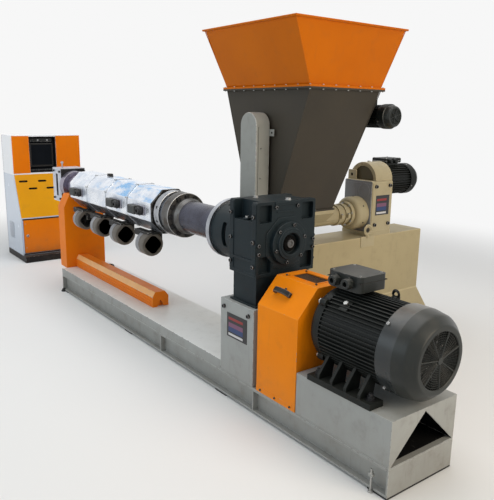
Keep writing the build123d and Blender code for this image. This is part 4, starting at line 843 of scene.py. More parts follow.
soften("die_block", 0.003, "diePlate", "dieBlock")
soften("die_flange", 0.003, "purpleSteel", "dieFlange")
soften("barrel_core", 0.0, "purpleSteel", "barrelCore")
soften("barrel_clamp_ring", 0.004, "turnedSteel", "barrelClampRing")
soften("barrel_flange", 0.004, "flangeSteel", "barrelFlange")
soften("feed_tube", 0.003, "darkSteel", "feedTube")
soften("lantern", 0.003, ["gearboxBlueGrey", "turnedSteel"], "lanternHousing",
       lambda face: 1 if face.calc_center_median().x < 2.4695 else 0)
soften("screw_shank", 0.002, "turnedSteel", "screwShank")
# the support and the duct take the lighter orange: painted light
soften("barrel_support", 0.002, "brightOrange", "barrelSupport")
# faces of the duct that slope up towards the near side take the pale strip: painted highlight
soften("cable_duct", 0.003, ["brightOrange", "ductPaintedHighlight"], "cableDuct",
       lambda face: 1 if face.normal.y < -0.3 and face.normal.z > 0.3 and face.calc_area() > 0.002 else 0)
ductRidges()
claddingZones()
claddingTrim()
blowerUnits()
heaterConnectors()
barrelFasteners()
dieFittings()
print("barrel done")


def barrelRings():
    # raised rings on the clamp ring, the flange, the feed tube and the die end
    bm = newShape()
    axis = (0, 0, barrel["axis"])
    addTurned(bm, [(1.760, 0.104), (1.760, 0.134), (1.766, 0.138), (1.792, 0.138), (1.800, 0.132), (1.800, 0.104)],
              axis, alongX, 64, 0, True)
    addTurned(bm, [(1.890, 0.104), (1.890, 0.126), (1.896, 0.130), (1.930, 0.130), (1.938, 0.124), (1.958, 0.120),
                   (1.966, 0.113), (1.966, 0.104)], axis, alongX, 64, 1, True)
    addTurned(bm, [(2.392, 0.112), (2.392, 0.126), (2.398, 0.130), (2.426, 0.130), (2.4315, 0.126), (2.4315, 0.112)],
              axis, alongX, 64, 1, True)
    addTurned(bm, [(-0.290, 0.100), (-0.290, 0.110)], axis, alongX, 48, 0)
    publish(bm, "barrelRings", ["turnedSteel", "flangeSteel"])


barrelRings()


# main gearbox: raised boss, ribs, bolts, plugs
gear = {"face": 2.993, "near": -0.220, "far": 0.220, "top": 1.245, "boltSize": 0.014}


def gearboxFittings():
    bm = newShape()
    face, near, far, top = gear["face"], gear["near"], gear["far"], gear["top"]
    # eight-sided boss under the end cap and the raised web that frames the pockets
    addPrism(bm, octagon(face - 0.0005, 0.164), (0.006, 0, 0), 0, 0.003)
    for z, reach in ((1.232, 0.090), (0.872, 0.105)):
        addBox(bm, (face - 0.001, -reach, z - 0.010), (face + 0.006, reach, z + 0.010), 0.003)
    addBox(bm, (face - 0.001, -0.075, 1.180), (face + 0.004, 0.040, 1.188), 0.002)
    # rim of each side, with the ledge above the foot
    for y, out in ((near, -1), (far, 1)):
        for x in (2.7585, 2.9715):
            addBox(bm, (x - 0.018, y, 0.835), (x + 0.018, y + out * 0.004, 1.235), 0.003)
        addBox(bm, (2.742, y, 0.902), (2.988, y + out * 0.006, 0.914), 0.003)
        addBox(bm, (2.745, y - out * 0.02, 0.818), (2.985, y + out * 0.003, 0.838), 0.004)
        for x, z in ((2.757, 1.167), (2.972, 1.164), (2.757, 0.878), (2.972, 0.878), (2.757, 1.020),
                     (2.972, 1.020)):
            addScrew(bm, (x, y + out * 0.003, z), (0, out, 0), gear["boltSize"], 1)
    for y, z in ((-0.084, 1.212), (0.077, 1.212), (-0.206, 1.002), (0.206, 1.002), (-0.206, 0.953), (0.206, 0.953)):
        addScrew(bm, (face, y, z), alongX, gear["boltSize"] * 0.9, 1)
    # breather and oil plugs
    addBolt(bm, (face - 0.02, 0.022, top - 0.001), alongZ, 0.018, 3)
    addBolt(bm, (2.800, -0.080, top - 0.001), alongZ, 0.016, 3)
    addBolt(bm, (face, 0.120, 0.700), alongX, 0.016, 3)
    # lifting eyes between the ears
    for side in (-1, 1):
        spot = Vector((2.865, side * 0.190, 1.1335))
        addRod(bm, spot, spot + Vector((0, 0, 0.012)), 0.022, 20, 0, 0.002)
        addBolt(bm, spot + Vector((0, 0, 0.010)), alongZ, 0.014, 3)
    # foot flange with its nuts on the pedestal
    for x in (2.7535, 2.9765):
        for y in (-0.205, 0.205):
            addBolt(bm, (x, y, 0.634), alongZ, 0.012, 3)
    addBox(bm, (2.7385, -0.216, 0.6335), (2.9915, 0.216, 0.6465), 0.003)
    publish(bm, "gearboxFittings", ["gearboxBlueGrey", "blackBolt", "innerDark", "zincBolt"])


def endCapRings():
    bm = newShape()
    centre = (gear["face"], 0, barrel["axis"])
    addTurned(bm, [(0.0470, 0.0635), (0.0470, 0.078), (0.0500, 0.076), (0.0500, 0.066)],
              centre, alongX, 48, 0, True)
    addTurned(bm, [(0.014, 0.0), (0.014, 0.020), (0.036, 0.020), (0.036, 0.040), (0.030, 0.046), (0.014, 0.046)],
              centre, alongX, 48, 1)
    addTurned(bm, [(0.0365, 0.0), (0.0365, 0.012), (0.041, 0.014), (0.041, 0.024), (0.0365, 0.026)],
              centre, alongX, 32, 2)
    for spot in roundSpots((3.027, 0, 1.0), alongX, 0.110, 6, 0.3):
        addScrew(bm, spot, alongX, 0.012, 3)
    publish(bm, "endCapRings", ["gearboxBlueGrey", "innerDark", "flangeSteel", "blackBolt", "innerDark"])


soften("gearbox_case", 0.005, "gearboxBlueGrey", "gearboxCase", segments=3)
soften("gearbox_end_cap", 0.004, "gearboxBlueGrey", "gearboxEndCap")
gearboxFittings()
endCapRings()


def bandedPlate(bm, corner, across, up):
    # thin plate with its own UV, so the plain bands run up it
    layer = bm.loops.layers.uv.verify()
    corner, across, up = Vector(corner), Vector(across), Vector(up)
    out = across.cross(up).normalized()
    known = set(bm.faces)
    addPrism(bm, [corner, corner + across, corner + across + up, corner + up], out * 0.0015)
    for face in bm.faces:
        if face not in known:
            for loop in face.loops:
                rel = loop.vert.co - corner
                loop[layer].uv = (rel.dot(across) / across.length_squared, rel.dot(up) / up.length_squared)


def platesAndScrews():
    bm = newShape()
    bandedPlate(bm, (2.750, -0.242, 0.408), (0.200, 0, 0), (0, 0, 0.150))
    bandedPlate(bm, (2.4458, 1.384, 0.958), (0, 0.156, 0), (0, 0, 0.156))
    publish(bm, "dataPlates", "bandedPlate")
    bm = newShape()
    for x in (2.722, 2.965):
        for side in (-1, 1):
            addScrew(bm, (x, side * 0.242, 0.588), (0, side, 0), 0.016, 0)
    publish(bm, "pedestalScrews", ["blackBolt", "innerDark"])


platesAndScrews()
print("gearbox done")


# guard over the coupling, its handle and woven window
guard = {"left": 3.046, "right": 3.383, "half": 0.242, "side": 0.686, "top": 0.837, "flat": 0.107, "wire": 0.0011,
         "pitch": 0.0082}


def guardFittings():
    bm = newShape()
    left, right = guard["left"], guard["right"]
    slope = Vector((0, guard["half"] - guard["flat"], guard["top"] - guard["side"])).normalized()
    out = Vector((0, -slope.z, slope.y))
    foot = Vector((0, -guard["half"], guard["side"])) + slope * 0.108
    # bow handle on the near slope, an arched strap
    arch = [(0.0, 0.0), (0.0, 0.018), (0.014, 0.034), (0.036, 0.044), (0.096, 0.044), (0.118, 0.034), (0.132, 0.018),
            (0.132, 0.0), (0.114, 0.0), (0.110, 0.014), (0.096, 0.025), (0.080, 0.029), (0.052, 0.029),
            (0.036, 0.025), (0.022, 0.014), (0.018, 0.0)]
    start = foot + Vector((3.114, 0, 0)) - slope * 0.015
    addPrism(bm, [start + Vector((along, 0, 0)) + out * rise for along, rise in arch], slope * 0.030, 0, 0.004)
    # screws of the base flange and of the window frame
    for x in (left + 0.04, left + 0.168, right - 0.04):
        for side in (-1, 1):
            addScrew(bm, (x, side * guard["half"], 0.180), (0, side, 0), 0.008, 1)
    for x in (3.094, 3.335):
        for y in (-0.074, 0.074):
            addScrew(bm, (x, y, guard["top"]), alongZ, 0.008, 1)
    addScrew(bm, foot + Vector((3.180, 0, 0)) + slope * 0.03, out, 0.007, 1)
    publish(bm, "guardFittings", ["handleBlack", "blackBolt", "innerDark"])
    # base flange, folded outwards inside the skid's width, and frame round the window
    bm = newShape()
    for y0, y1 in ((-0.2435, -0.2400), (0.2400, 0.2435)):
        addBox(bm, (left, y0, 0.1635), (right, y1, 0.196), 0.001)
    for x0, y0, x1, y1 in ((3.100, -0.070, 3.329, -0.058), (3.100, 0.058, 3.329, 0.070),
                           (3.100, -0.070, 3.1125, 0.070), (3.3165, -0.070, 3.329, 0.070)):
        addBox(bm, (x0, y0, 0.8365), (x1, y1, 0.8400), 0.0008)
    publish(bm, "guardFrames", "guardYellow")


def wovenWindow():
    bm = newShape()
    low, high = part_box("guard_mesh")
    level = (low.z + high.z) / 2
    runs = int((high.x - low.x) / guard["pitch"])
    for step in range(runs + 1):
        x = low.x + (high.x - low.x) * step / runs
        addRod(bm, (x, low.y, level + 0.0008), (x, high.y, level + 0.0008), guard["wire"], 6)
    runs = int((high.y - low.y) / guard["pitch"])
    for step in range(runs + 1):
        y = low.y + (high.y - low.y) * step / runs
        addRod(bm, (low.x, y, level - 0.0008), (high.x, y, level - 0.0008), guard["wire"], 6)
    publish(bm, "wovenWindow", "meshBrown", replaced=("guard_mesh",), weighted=False)


soften("coupling_guard", 0.003, "guardYellow", "couplingGuard")
soften("coupling", 0.003, "flangeSteel", "couplingHubs")
guardFittings()
wovenWindow()
print("guard done")


# main motor
motor = {"axis": 0.646, "bell": 3.420, "middle": 3.690, "cowlLeft": 3.884, "cowlRight": 4.084, "cowlRadius": 0.221,
         "grille": 0.140, "spokes": 7, "rings": 13, "box": (3.440, 3.668)}


def addGrille(bm, centre, direction, radius, spokes, rings, wire, index, spokeIndex, hub=0.12):
    centre = Vector(centre)
    out = Vector(direction).normalized()
    for ring in range(1, rings):
        at = radius * ring / rings
        addTurned(bm, [(0, at - wire), (wire, at), (0, at + wire), (-wire, at)], centre, out, 40, index, True)
    for spot in roundSpots(centre, out, radius, rings * 4):
        addRod(bm, centre + (spot - centre) * hub, spot, wire * 0.8, 4, index)
    for spot in roundSpots(centre + out * wire, out, radius, spokes, 0.3):
        addRod(bm, centre + out * wire, spot, wire * 2.4, 6, spokeIndex)
    addRod(bm, centre - out * wire, centre + out * wire * 4, radius * hub, 24, spokeIndex)


def mainCowl():
    bm = newShape()
    start = (motor["cowlLeft"], 0, motor["axis"])
    length = motor["cowlRight"] - motor["cowlLeft"]
    radius = motor["cowlRadius"]
    rim = motor["grille"]
    end = Vector((motor["cowlRight"], 0, motor["axis"]))
    # pressed steel shell: outer skin, rolled shoulder, rim and the inside back to the frame
    addTurned(bm, [(0.002, radius - 0.0050), (0.0, radius - 0.0025), (0.002, radius - 0.001), (0.004, radius),
                   (length - 0.112, radius), (length - 0.106, radius - 0.0010), (length - 0.050, radius - 0.011),
                   (length - 0.036, radius - 0.020), (length - 0.006, 0.172), (length - 0.001, 0.166),
                   (length, 0.160), (length, rim + 0.004), (length - 0.003, rim), (length - 0.008, rim),
                   (length - 0.008, 0.158), (length - 0.040, radius - 0.026), (length - 0.11, radius - 0.005)],
              start, alongX, 96, 0, True)
    # the cylindrical band takes the lighter copy: painted sheen, with real gloss
    for face in bm.faces:
        if face.calc_center_median().x < motor["cowlRight"] - 0.104:
            face.material_index = 5
    addGrille(bm, end - Vector((0.006, 0, 0)), alongX, rim + 0.002, motor["spokes"], motor["rings"], 0.0014, 1, 0)
    # dark disc behind the grille: painted shade inside the cowl
    addRod(bm, end - Vector((0.060, 0, 0)), end - Vector((0.055, 0, 0)), 0.19, 48, 2)
    ring = Vector((motor["cowlLeft"] + 0.018, 0, motor["axis"]))
    for spot in roundSpots(ring, alongX, radius - 0.001, 4, math.pi / 4):
        addScrew(bm, spot, (spot - ring).normalized(), 0.010, 3)
    # fan behind the grille
    for blade in range(9):
        turn = Matrix.Rotation(math.tau * blade / 9, 4, "X") @ Matrix.Rotation(0.5, 4, "Y")
        turn = Matrix.Translation(end - Vector((0.040, 0, 0))) @ turn
        addBox(bm, (-0.004, 0.030, -0.014), (0.004, 0.150, 0.014), 0.002, 4, turn)
    addRod(bm, end - Vector((0.055, 0, 0)), end - Vector((0.020, 0, 0)), 0.034, 24, 4)
    publish(bm, "mainMotorCowl", ["cowlBlack", "cowlBlack", "innerDark", "zincBolt", "ductBlack", "darkGreyAndCowlSheen"],
            replaced=("motor_fan_cover",))


def motorFittings():
    bm = newShape()
    axis = Vector((0, 0, motor["axis"]))
    # bell's bolted lugs and bearing cover
    for spot in roundSpots(axis + Vector((3.480, 0, 0)), alongX, 0.206, 4, math.pi / 4):
        addRod(bm, spot - Vector((0.022, 0, 0)), spot + Vector((0.020, 0, 0)), 0.022, 16, 0, 0.004)
        addBolt(bm, spot - Vector((0.022, 0, 0)), (-1, 0, 0), 0.016, 1)
    addTurned(bm, [(0.0, 0.040), (-0.006, 0.044), (-0.010, 0.080), (-0.004, 0.092), (0.002, 0.092), (0.002, 0.040)],
              (motor["bell"] + 0.002, 0, motor["axis"]), alongX, 48, 0, True)
    # lifting eye on the far shoulder and a raised block with a bolt on the near one
    eye = Vector((3.745, 0.078, 0.846))
    addRod(bm, eye - Vector((0, 0, 0.020)), eye + Vector((0, 0, 0.006)), 0.022, 20, 0, 0.003)
    spin = [(0.0, 0.010), (0.009, 0.018), (0.0, 0.026), (-0.009, 0.018)]
    addTurned(bm, spin, eye + Vector((0, 0, 0.018)), alongY, 24, 0, True)
    out = Vector((0, -0.55, 0.83)).normalized()
    across = Vector((0, out.z, -out.y))
    block = Matrix((Vector(alongX), across, out)).transposed().to_4x4()
    block = Matrix.Translation((3.607, -0.118, 0.802)) @ block
    addBox(bm, (-0.026, -0.040, -0.020), (0.026, 0.030, 0.010), 0.004, 0, block)
    addRod(bm, block @ Vector((0, 0, 0.008)), block @ Vector((0, 0, 0.024)), 0.013, 6, 1)
    # feet: washers, nuts and bolt ends
    for x in (motor["middle"] - 0.175, motor["middle"] + 0.175):
        for y in (-0.203, 0.203):
            addRod(bm, (x, y, 0.4255), (x, y, 0.430), 0.022, 20, 2)
            addRod(bm, (x, y, 0.430), (x, y, 0.446), 0.018, 6, 2)
            addRod(bm, (x, y, 0.446), (x, y, 0.458), 0.011, 12, 2)
    publish(bm, "motorFittings", ["motorBlack", "zincBolt", "blackBolt"])


def terminalBoxTop():
    # lid with a seam, screws and gland bodies
    bm = newShape()
    x0, x1 = motor["box"]
    y0, y1 = -0.098, 0.098
    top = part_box("terminal_box")[1].z
    addBox(bm, (x0 - 0.0015, y0 - 0.0015, top - 0.034), (x1 + 0.0015, y1 + 0.0015, top - 0.031), 0.0008, 1)
    for x in (x0 + 0.022, x1 - 0.022):
        for y in (y0 + 0.022, y1 - 0.022):
            addScrew(bm, (x, y, top - 0.002), alongZ, 0.007, 2)
    for x in (3.509, 3.599):
        z = 0.913
        addTurned(bm, [(0.000, 0.0265), (0.008, 0.0285), (0.016, 0.0285), (0.018, 0.0270), (0.030, 0.0275),
                       (0.038, 0.0265), (0.041, 0.0235), (0.041, 0.0145), (0.012, 0.0142)],
                  (x, y0, z), (0, -1, 0), 32)
        addRod(bm, (x, y0 - 0.010, z), (x, y0 - 0.012, z), 0.0145, 24, 1)
        addRod(bm, (x, y0 - 0.006, z), (x, y0 - 0.018, z), 0.0315, 6, 0)
    publish(bm, "terminalBoxFittings", ["cowlBlack", "innerDark", "zincBolt", "innerDark"])


soften("motor_end_bell", 0.003, "motorBlack", "motorEndBell")
soften("motor_frame", 0.0012, "motorBlack", "motorFrame", segments=1)
soften("terminal_box", 0.010, "cowlBlack", "terminalBox", segments=4)
mainCowl()
motorFittings()
terminalBoxTop()
print("main motor done")


# feeder: motor, gearbox, drum and base
feeder = {"x": 2.294, "half": 0.146, "near": 1.342, "gearFar": 1.578, "axis": 1.214, "tube": 0.968}


def addMotor(bm, start, direction, look):
    # small finned motor: flange, body, fins, cowl band, cap and grille
    start = Vector(start)
    out = Vector(direction).normalized()
    radius, length, cowl = look["radius"], look["length"], look["cowl"]
    body = radius - look["fin"]
    addRod(bm, start, start + out * 0.020, radius * 0.98, 40, 0, 0.003)
    addRod(bm, start + out * 0.020, start + out * (length - cowl), body, 40, 0)
    spot = Matrix.Translation(start) @ turnTo(out)
    for fin in range(look["fins"]):
        turn = spot @ Matrix.Rotation(math.tau * (fin + 0.5) / look["fins"], 4, "Z")
        addBox(bm, (body - 0.002, -0.0022, 0.032), (radius - 0.004, 0.0022, length - cowl - 0.004), 0, 0, turn)
    cowlAt = length - cowl
    addTurned(bm, [(cowlAt - 0.006, radius - 0.004), (cowlAt - 0.008, radius), (cowlAt + 0.004, radius + 0.002),
                   (length - cowl * 0.45, radius + 0.002)], start, out, 48, 1)
    addTurned(bm, [(length - cowl * 0.45, radius + 0.002), (length - cowl * 0.42, radius - 0.004),
                   (length - 0.020, radius * 0.90), (length - 0.006, radius * 0.84), (length, radius * 0.76),
                   (length, radius * 0.66), (length - 0.006, radius * 0.64), (length - 0.016, 0.0)],
              start, out, 48, 2)
    addGrille(bm, start + out * (length - 0.005), out, radius * 0.66, 6, look["rings"], 0.0012, 2, 2, 0.16)
    ring = start + out * (cowlAt + 0.008)
    for at in roundSpots(ring, out, radius + 0.0015, 4, 0.4):
        side = (at - ring).normalized()
        addRod(bm, at, at + side * 0.004, 0.005, 8, 3)


def feederMotor():
    bm = newShape()
    x = feeder["x"]
    addMotor(bm, (x, feeder["gearFar"], feeder["axis"]), alongY,
             {"radius": 0.125, "length": 0.365, "cowl": 0.100, "fin": 0.018, "fins": 36, "rings": 7})
    addBox(bm, (x - 0.090, 1.612, 1.315), (x + 0.030, 1.770, 1.352), 0.006, 0)
    addBox(bm, (x - 0.105, 1.600, 1.350), (x + 0.045, 1.788, 1.389), 0.008, 0)
    addBox(bm, (x - 0.1065, 1.5985, 1.3650), (x + 0.0465, 1.7895, 1.3675), 0.0006, 3)
    for y in (1.640, 1.700):
        addTurned(bm, [(0.0, 0.017), (0.008, 0.019), (0.016, 0.019), (0.024, 0.015), (0.030, 0.015), (0.030, 0.0)],
                  (x + 0.040, y, 1.368), alongX, 20, 0)
    for dx in (-0.095, 0.035):
        for y in (1.612, 1.776):
            addRod(bm, (x + dx, y, 1.388), (x + dx, y, 1.391), 0.005, 8, 3)
    publish(bm, "feederMotor", ["motorBlack", "motorBlack", "cowlBlack", "zincBolt"],
            replaced=("feeder_motor",))


def feederFittings():
    bm = newShape()
    x, half, near = feeder["x"], feeder["half"], feeder["near"]
    front = x + half
    # cover plate on the +X face with four socket screws, and its mirror on the back
    for side in (-1, 1):
        face = x + side * half
        addBox(bm, (face, near + 0.006, 0.832), (face + side * 0.006, 1.572, 1.216), 0.003)
        for y, z in ((1.378, 1.186), (1.536, 1.188), (1.378, 0.884), (1.536, 0.886)):
            addScrew(bm, (face + side * 0.005, y, z), (side, 0, 0), 0.018, 2)
    # near face: raised ring and plate
    addTurned(bm, [(0.0, 0.050), (0.006, 0.050), (0.006, 0.062), (0.0, 0.062)],
              (x + 0.060, near, 1.148), (0, -1, 0), 40, 1, True)
    addBox(bm, (x - 0.142, near - 0.004, 0.840), (x + 0.142, near, 1.206), 0.004, 1)
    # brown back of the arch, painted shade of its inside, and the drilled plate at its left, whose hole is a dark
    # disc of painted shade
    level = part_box("feeder_bell")[1].z - 0.140
    addRod(bm, (x, 1.402, level), (x, 1.412, level), 0.1095, 48, 6)
    addBox(bm, (x - half, 1.372, 1.200), (x - 0.060, 1.384, 1.300), 0.004, 0)
    addRod(bm, (x - 0.104, 1.3712, 1.262), (x - 0.104, 1.376, 1.262), 0.012, 20, 3)
    # foot flange on the base, lifting ring and its plate
    addBox(bm, (x - half, near - 0.010, 0.7935), (front, 1.588, 0.8235), 0.004, 0)
    addBox(bm, (front - 0.001, 1.240, 0.716), (front + 0.006, 1.392, 0.800), 0.002, 0)
    ring = Vector((front + 0.006, 1.313, 0.849))
    addTurned(bm, [(0.0, 0.020), (0.010, 0.034), (0.0, 0.046), (-0.010, 0.034)], ring, alongX, 32, 0, True)
    addRod(bm, ring - Vector((0.002, 0, 0.034)), ring - Vector((0.002, 0, 0.060)), 0.012, 16, 0)
    # screws of the drum and of its flange
    for spot in roundSpots((x, 1.194, feeder["tube"]), (0, -1, 0), 0.084, 8, 0.2):
        addBolt(bm, spot, (0, -1, 0), 0.010, 4)
    drum = Vector((x, 1.290, feeder["tube"]))
    for spot in roundSpots(drum, alongY, 0.1295, 6, 0.5):
        addRod(bm, spot, spot + (spot - drum).normalized() * 0.003, 0.006, 10, 5)
    addRod(bm, (x - 0.020, 1.470, 1.352), (x - 0.020, 1.470, 1.372), 0.012, 16, 4)
    publish(bm, "feederFittings", ["creamPaint", "feederGrey", "blackBolt", "innerDark", "zincBolt", "blackBolt",
                                   "archPaintedShade"])


def feederTubeFittings():
    # split clamps on the feeder tube and the bolts along the trough
    bm = newShape()
    x, axis = feeder["x"], feeder["tube"]
    for y in (0.205, 1.080, 1.150):
        addTurned(bm, [(-0.014, 0.0755), (-0.014, 0.084), (0.014, 0.084), (0.014, 0.0755)],
                  (x, y, axis), alongY, 40, 0, True)
        addBox(bm, (x + 0.078, y - 0.012, axis - 0.014), (x + 0.104, y + 0.012, axis + 0.014), 0.002, 0)
        addBolt(bm, (x + 0.092, y, axis + 0.014), alongZ, 0.008, 1)
    for y in (0.380, 0.510, 0.640, 0.770, 0.900):
        for side in (-1, 1):
            addBolt(bm, (x + side * 0.1475, y, 1.031), (side, 0, 0), 0.008, 1)
    publish(bm, "feederTubeFittings", ["creamPaint", "zincBolt"])


soften("feeder_base", 0.006, "beigePaint", "feederBase")
soften("feeder_gearbox", 0.005, ["creamPaint", "feederGrey"], "feederGearbox",
       lambda face: 1 if face.normal.y < -0.8 else 0)
# the back face inside the arch takes the brown: painted shade
soften("feeder_bell", 0.003, ["creamPaint", "archPaintedShade"], "feederArch",
       lambda face: 1 if face.calc_center_median().y > 1.5535 and face.normal.y < -0.8 else 0)
soften("feeder_drum", 0.003, "creamPaint", "feederDrum")
soften("feeder_trough", 0.002, "creamPaint", "feederTrough")
feederMotor()
feederFittings()
feederTubeFittings()


def feederFlight():
    # screw flight inside the tube and under the hopper
    bm = newShape()
    radius, root, pitch, turns, steps = 0.062, 0.026, 0.090, 8, 20
    x, y, z = feeder["x"], 0.330, feeder["tube"]
    inner = bm.verts.new((x + root, y, z))
    outer = bm.verts.new((x + radius, y, z))
    edge = bm.edges.new((inner, outer))
    bmesh.ops.spin(bm, geom=[inner, outer, edge], cent=(x, y, z), axis=alongY, dvec=(0, pitch / steps, 0),
                   angle=math.tau * turns, steps=steps * turns)
    bmesh.ops.solidify(bm, geom=list(bm.faces), thickness=0.004)
    publish(bm, "feederFlight", "turnedSteel", weighted=False)


feederFlight()
nodes["feeder_screw"].data.materials.clear()
nodes["feeder_screw"].data.materials.append(finishes["turnedSteel"])
print("feeder done")


# hopper, its joint bolts, agitator and chain guard
hopper = {"x": 2.294, "y": 0.700, "joint": 1.896, "midX": 0.889, "midY": 0.646, "rim": 2.297, "mouthX": 0.971,
          "mouthY": 0.984, "bolt": 0.006, "pitch": 0.115}


def hopperFasteners():
    bm = newShape()
    halfX, halfY = hopper["midX"] / 2 + 0.011, hopper["midY"] / 2 + 0.011
    countX, countY = round(2 * halfX / hopper["pitch"]), round(2 * halfY / hopper["pitch"])
    spots = []
    for sign in (-1, 1):
        spots += [(-halfX + 2 * halfX * step / countX, sign * halfY) for step in range(countX + 1)]
        spots += [(sign * halfX, -halfY + 2 * halfY * step / countY) for step in range(1, countY)]
    for dx, dy in spots:
        spot = Vector((hopper["x"] + dx, hopper["y"] + dy, hopper["joint"] + 0.012))
        addBolt(bm, spot, alongZ, hopper["bolt"])
        addBolt(bm, spot - Vector((0, 0, 0.024)), (0, 0, -1), hopper["bolt"])
    publish(bm, "hopperJointBolts", "zincBolt")


def hopperSeams():
    # welded corner seams and the rolled rim
    bm = newShape()
    x, y = hopper["x"], hopper["y"]
    for sx in (-1, 1):
        for sy in (-1, 1):
            kneeX, kneeY = x + sx * hopper["midX"] / 2, y + sy * hopper["midY"] / 2
            mouth = (x + sx * hopper["mouthX"] / 2, y + sy * hopper["mouthY"] / 2, hopper["rim"] - 0.010)
            addRod(bm, (kneeX, kneeY, hopper["joint"] + 0.010), mouth, 0.0028, 8, 0)
            foot = (x + sx * 0.145, 0.640 + sy * 0.272, 1.055)
            addRod(bm, foot, (kneeX, kneeY, hopper["joint"] - 0.012), 0.0028, 8, 1)
    halfX, halfY = hopper["mouthX"] / 2 + 0.013, hopper["mouthY"] / 2 + 0.013
    level = hopper["rim"] - 0.004
    corners = [(x + a * halfX, y + b * halfY, level) for a, b in ((-1, -1), (1, -1), (1, 1), (-1, 1))]
    for start, end in zip(corners, corners[1:] + corners[:1]):
        addRod(bm, start, end, 0.004, 10, 0)
    publish(bm, "hopperSeams", ["orangePaint", "hopperGrey"])


def chainGuardFittings():
    bm = newShape()
    low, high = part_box("chain_guard")
    x = hopper["x"]
    # tab with a hole on each side, cover screws and the parting line of the box
    for side in (-1, 1):
        edge = x + side * 0.088
        back = high.y - 0.005
        outline = [(edge - side * 0.002, back, 1.580), (edge + side * 0.048, back, 1.580),
                   (edge + side * 0.048, back, 1.625), (edge - side * 0.002, back, 1.625)]
        addPrism(bm, outline, (0, 0.004, 0), 0, 0.0008)
        hole = edge + side * 0.027
        # the hole is a dark disc: painted shade
        addRod(bm, (hole, back - 0.0008, 1.6025), (hole, back + 0.0048, 1.6025), 0.007, 16, 2)
        addBox(bm, (edge - 0.0012, low.y + 0.018, 1.000), (edge + 0.0012, low.y + 0.020, 1.640), 0, 2)
        for z in (1.10, 1.30, 1.50):
            addScrew(bm, (edge, low.y + 0.040, z), (side, 0, 0), 0.007, 1)
    publish(bm, "chainGuardFittings", ["lightGrey", "zincBolt", "innerDark"])


def agitatorDrive():
    bm = newShape()
    x, near = hopper["x"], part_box("agitator_drive")[0].y
    shaft, middle = 1.647, 1.6835
    # worm gearbox with cover, ribs and shaft boss
    addBox(bm, (x - 0.100, near, middle - 0.170), (x + 0.100, near + 0.150, middle + 0.170), 0.014, 0)
    for rib in (x - 0.070, x + 0.070):
        addBox(bm, (rib - 0.008, near + 0.148, middle - 0.130), (rib + 0.008, near + 0.156, middle + 0.130), 0.003, 0)
    addTurned(bm, [(0.0, 0.060), (0.010, 0.058), (0.018, 0.046), (0.018, 0.024), (0.010, 0.020), (0.010, 0.0)],
              (x, near + 0.150, shaft), alongY, 40)
    for spot in roundSpots((x, near + 0.156, shaft), alongY, 0.050, 6):
        addScrew(bm, spot, alongY, 0.008, 3)
    axisY = near + 0.122
    addRod(bm, (x + 0.095, axisY, 1.720), (x + 0.112, axisY, 1.720), 0.084, 40, 0, 0.003)
    addMotor(bm, (x + 0.110, axisY, 1.720), alongX,
             {"radius": 0.084, "length": 0.382, "cowl": 0.095, "fin": 0.012, "fins": 30, "rings": 6})
    addBox(bm, (x + 0.160, axisY - 0.050, 1.790), (x + 0.280, axisY + 0.050, 1.838), 0.006, 0)
    addTurned(bm, [(0.0, 0.012), (0.012, 0.013), (0.020, 0.010), (0.020, 0.0)], (x + 0.220, axisY + 0.050, 1.815),
              alongY, 16, 0)
    publish(bm, "agitatorDrive", ["motorBlack", "motorBlack", "cowlBlack", "zincBolt", "innerDark"],
            replaced=("agitator_drive",))


soften("hopper_upper", 0.0015, "orangePaint", "hopperUpper")
soften("hopper_lower", 0.0015, "hopperGrey", "hopperLower")
soften("chain_guard", 0.007, "lightGrey", "chainGuard", segments=3)
soften("agitator_shaft", 0.002, "turnedSteel", "agitatorShaft")
hopperFasteners()
hopperSeams()
chainGuardFittings()
agitatorDrive()
print("hopper done")


# control cabinet
cabinet = {"back": -2.000, "front": -1.425, "head": -1.600, "near": -0.205, "far": 0.600, "desk": 0.500,
           "neck": 0.997, "top": 1.437, "screenNear": -0.008, "screenFar": 0.305, "skin": 0.002}


def cabinetPanels():
    bm = newShape()
    head, near, far, skin = cabinet["head"], cabinet["near"], cabinet["far"], cabinet["skin"]
    front = cabinet["front"]
    # head: orange panels beside the screen, in the lighter orange of painted light
    for left, right in ((near + 0.003, cabinet["screenNear"] - 0.001), (cabinet["screenFar"] + 0.001, far - 0.003)):
        addBox(bm, (head - 0.0005, left, cabinet["neck"] + 0.008), (head + skin, right, cabinet["top"] - 0.004),
               0.0015)
    # sloping desk panel
    low = Vector((front, 0, cabinet["desk"]))
    high = Vector((head, 0, cabinet["neck"]))
    slope = (high - low).normalized()
    out = Vector((slope.z, 0, -slope.x))
    length = (high - low).length
    place = Matrix.Translation(low) @ Matrix((slope, Vector(alongY), out)).transposed().to_4x4()
    addBox(bm, (0.010, near + 0.006, -0.0005), (length - 0.006, far - 0.004, skin), 0.0015, 1, place)
    # four grip slots, drawn as dark discs and bars on the panel: painted shade of the slots
    for y, z in ((-0.109, 0.915), (0.110, 0.912), (-0.010, 0.831), (0.196, 0.829)):
        at = (z - cabinet["desk"]) / slope.z
        for end in (y - 0.038, y + 0.038):
            addRod(bm, place @ Vector((at, end, 0.0)), place @ Vector((at, end, skin + 0.0012)), 0.011, 20, 2)
        addBox(bm, (at - 0.011, y - 0.038, 0.0), (at + 0.011, y + 0.038, skin + 0.0012), 0, 2, place)
    # shadow gaps above and below the door
    for z0, z1 in ((0.484, 0.499), (0.076, 0.092)):
        addBox(bm, (front - 0.006, near + 0.014, z0), (front + 0.0008, far - 0.014, z1), 0, 3)
    publish(bm, "cabinetPanels", ["brightOrange", "deskYellow", "innerDark", "shadowGap"])


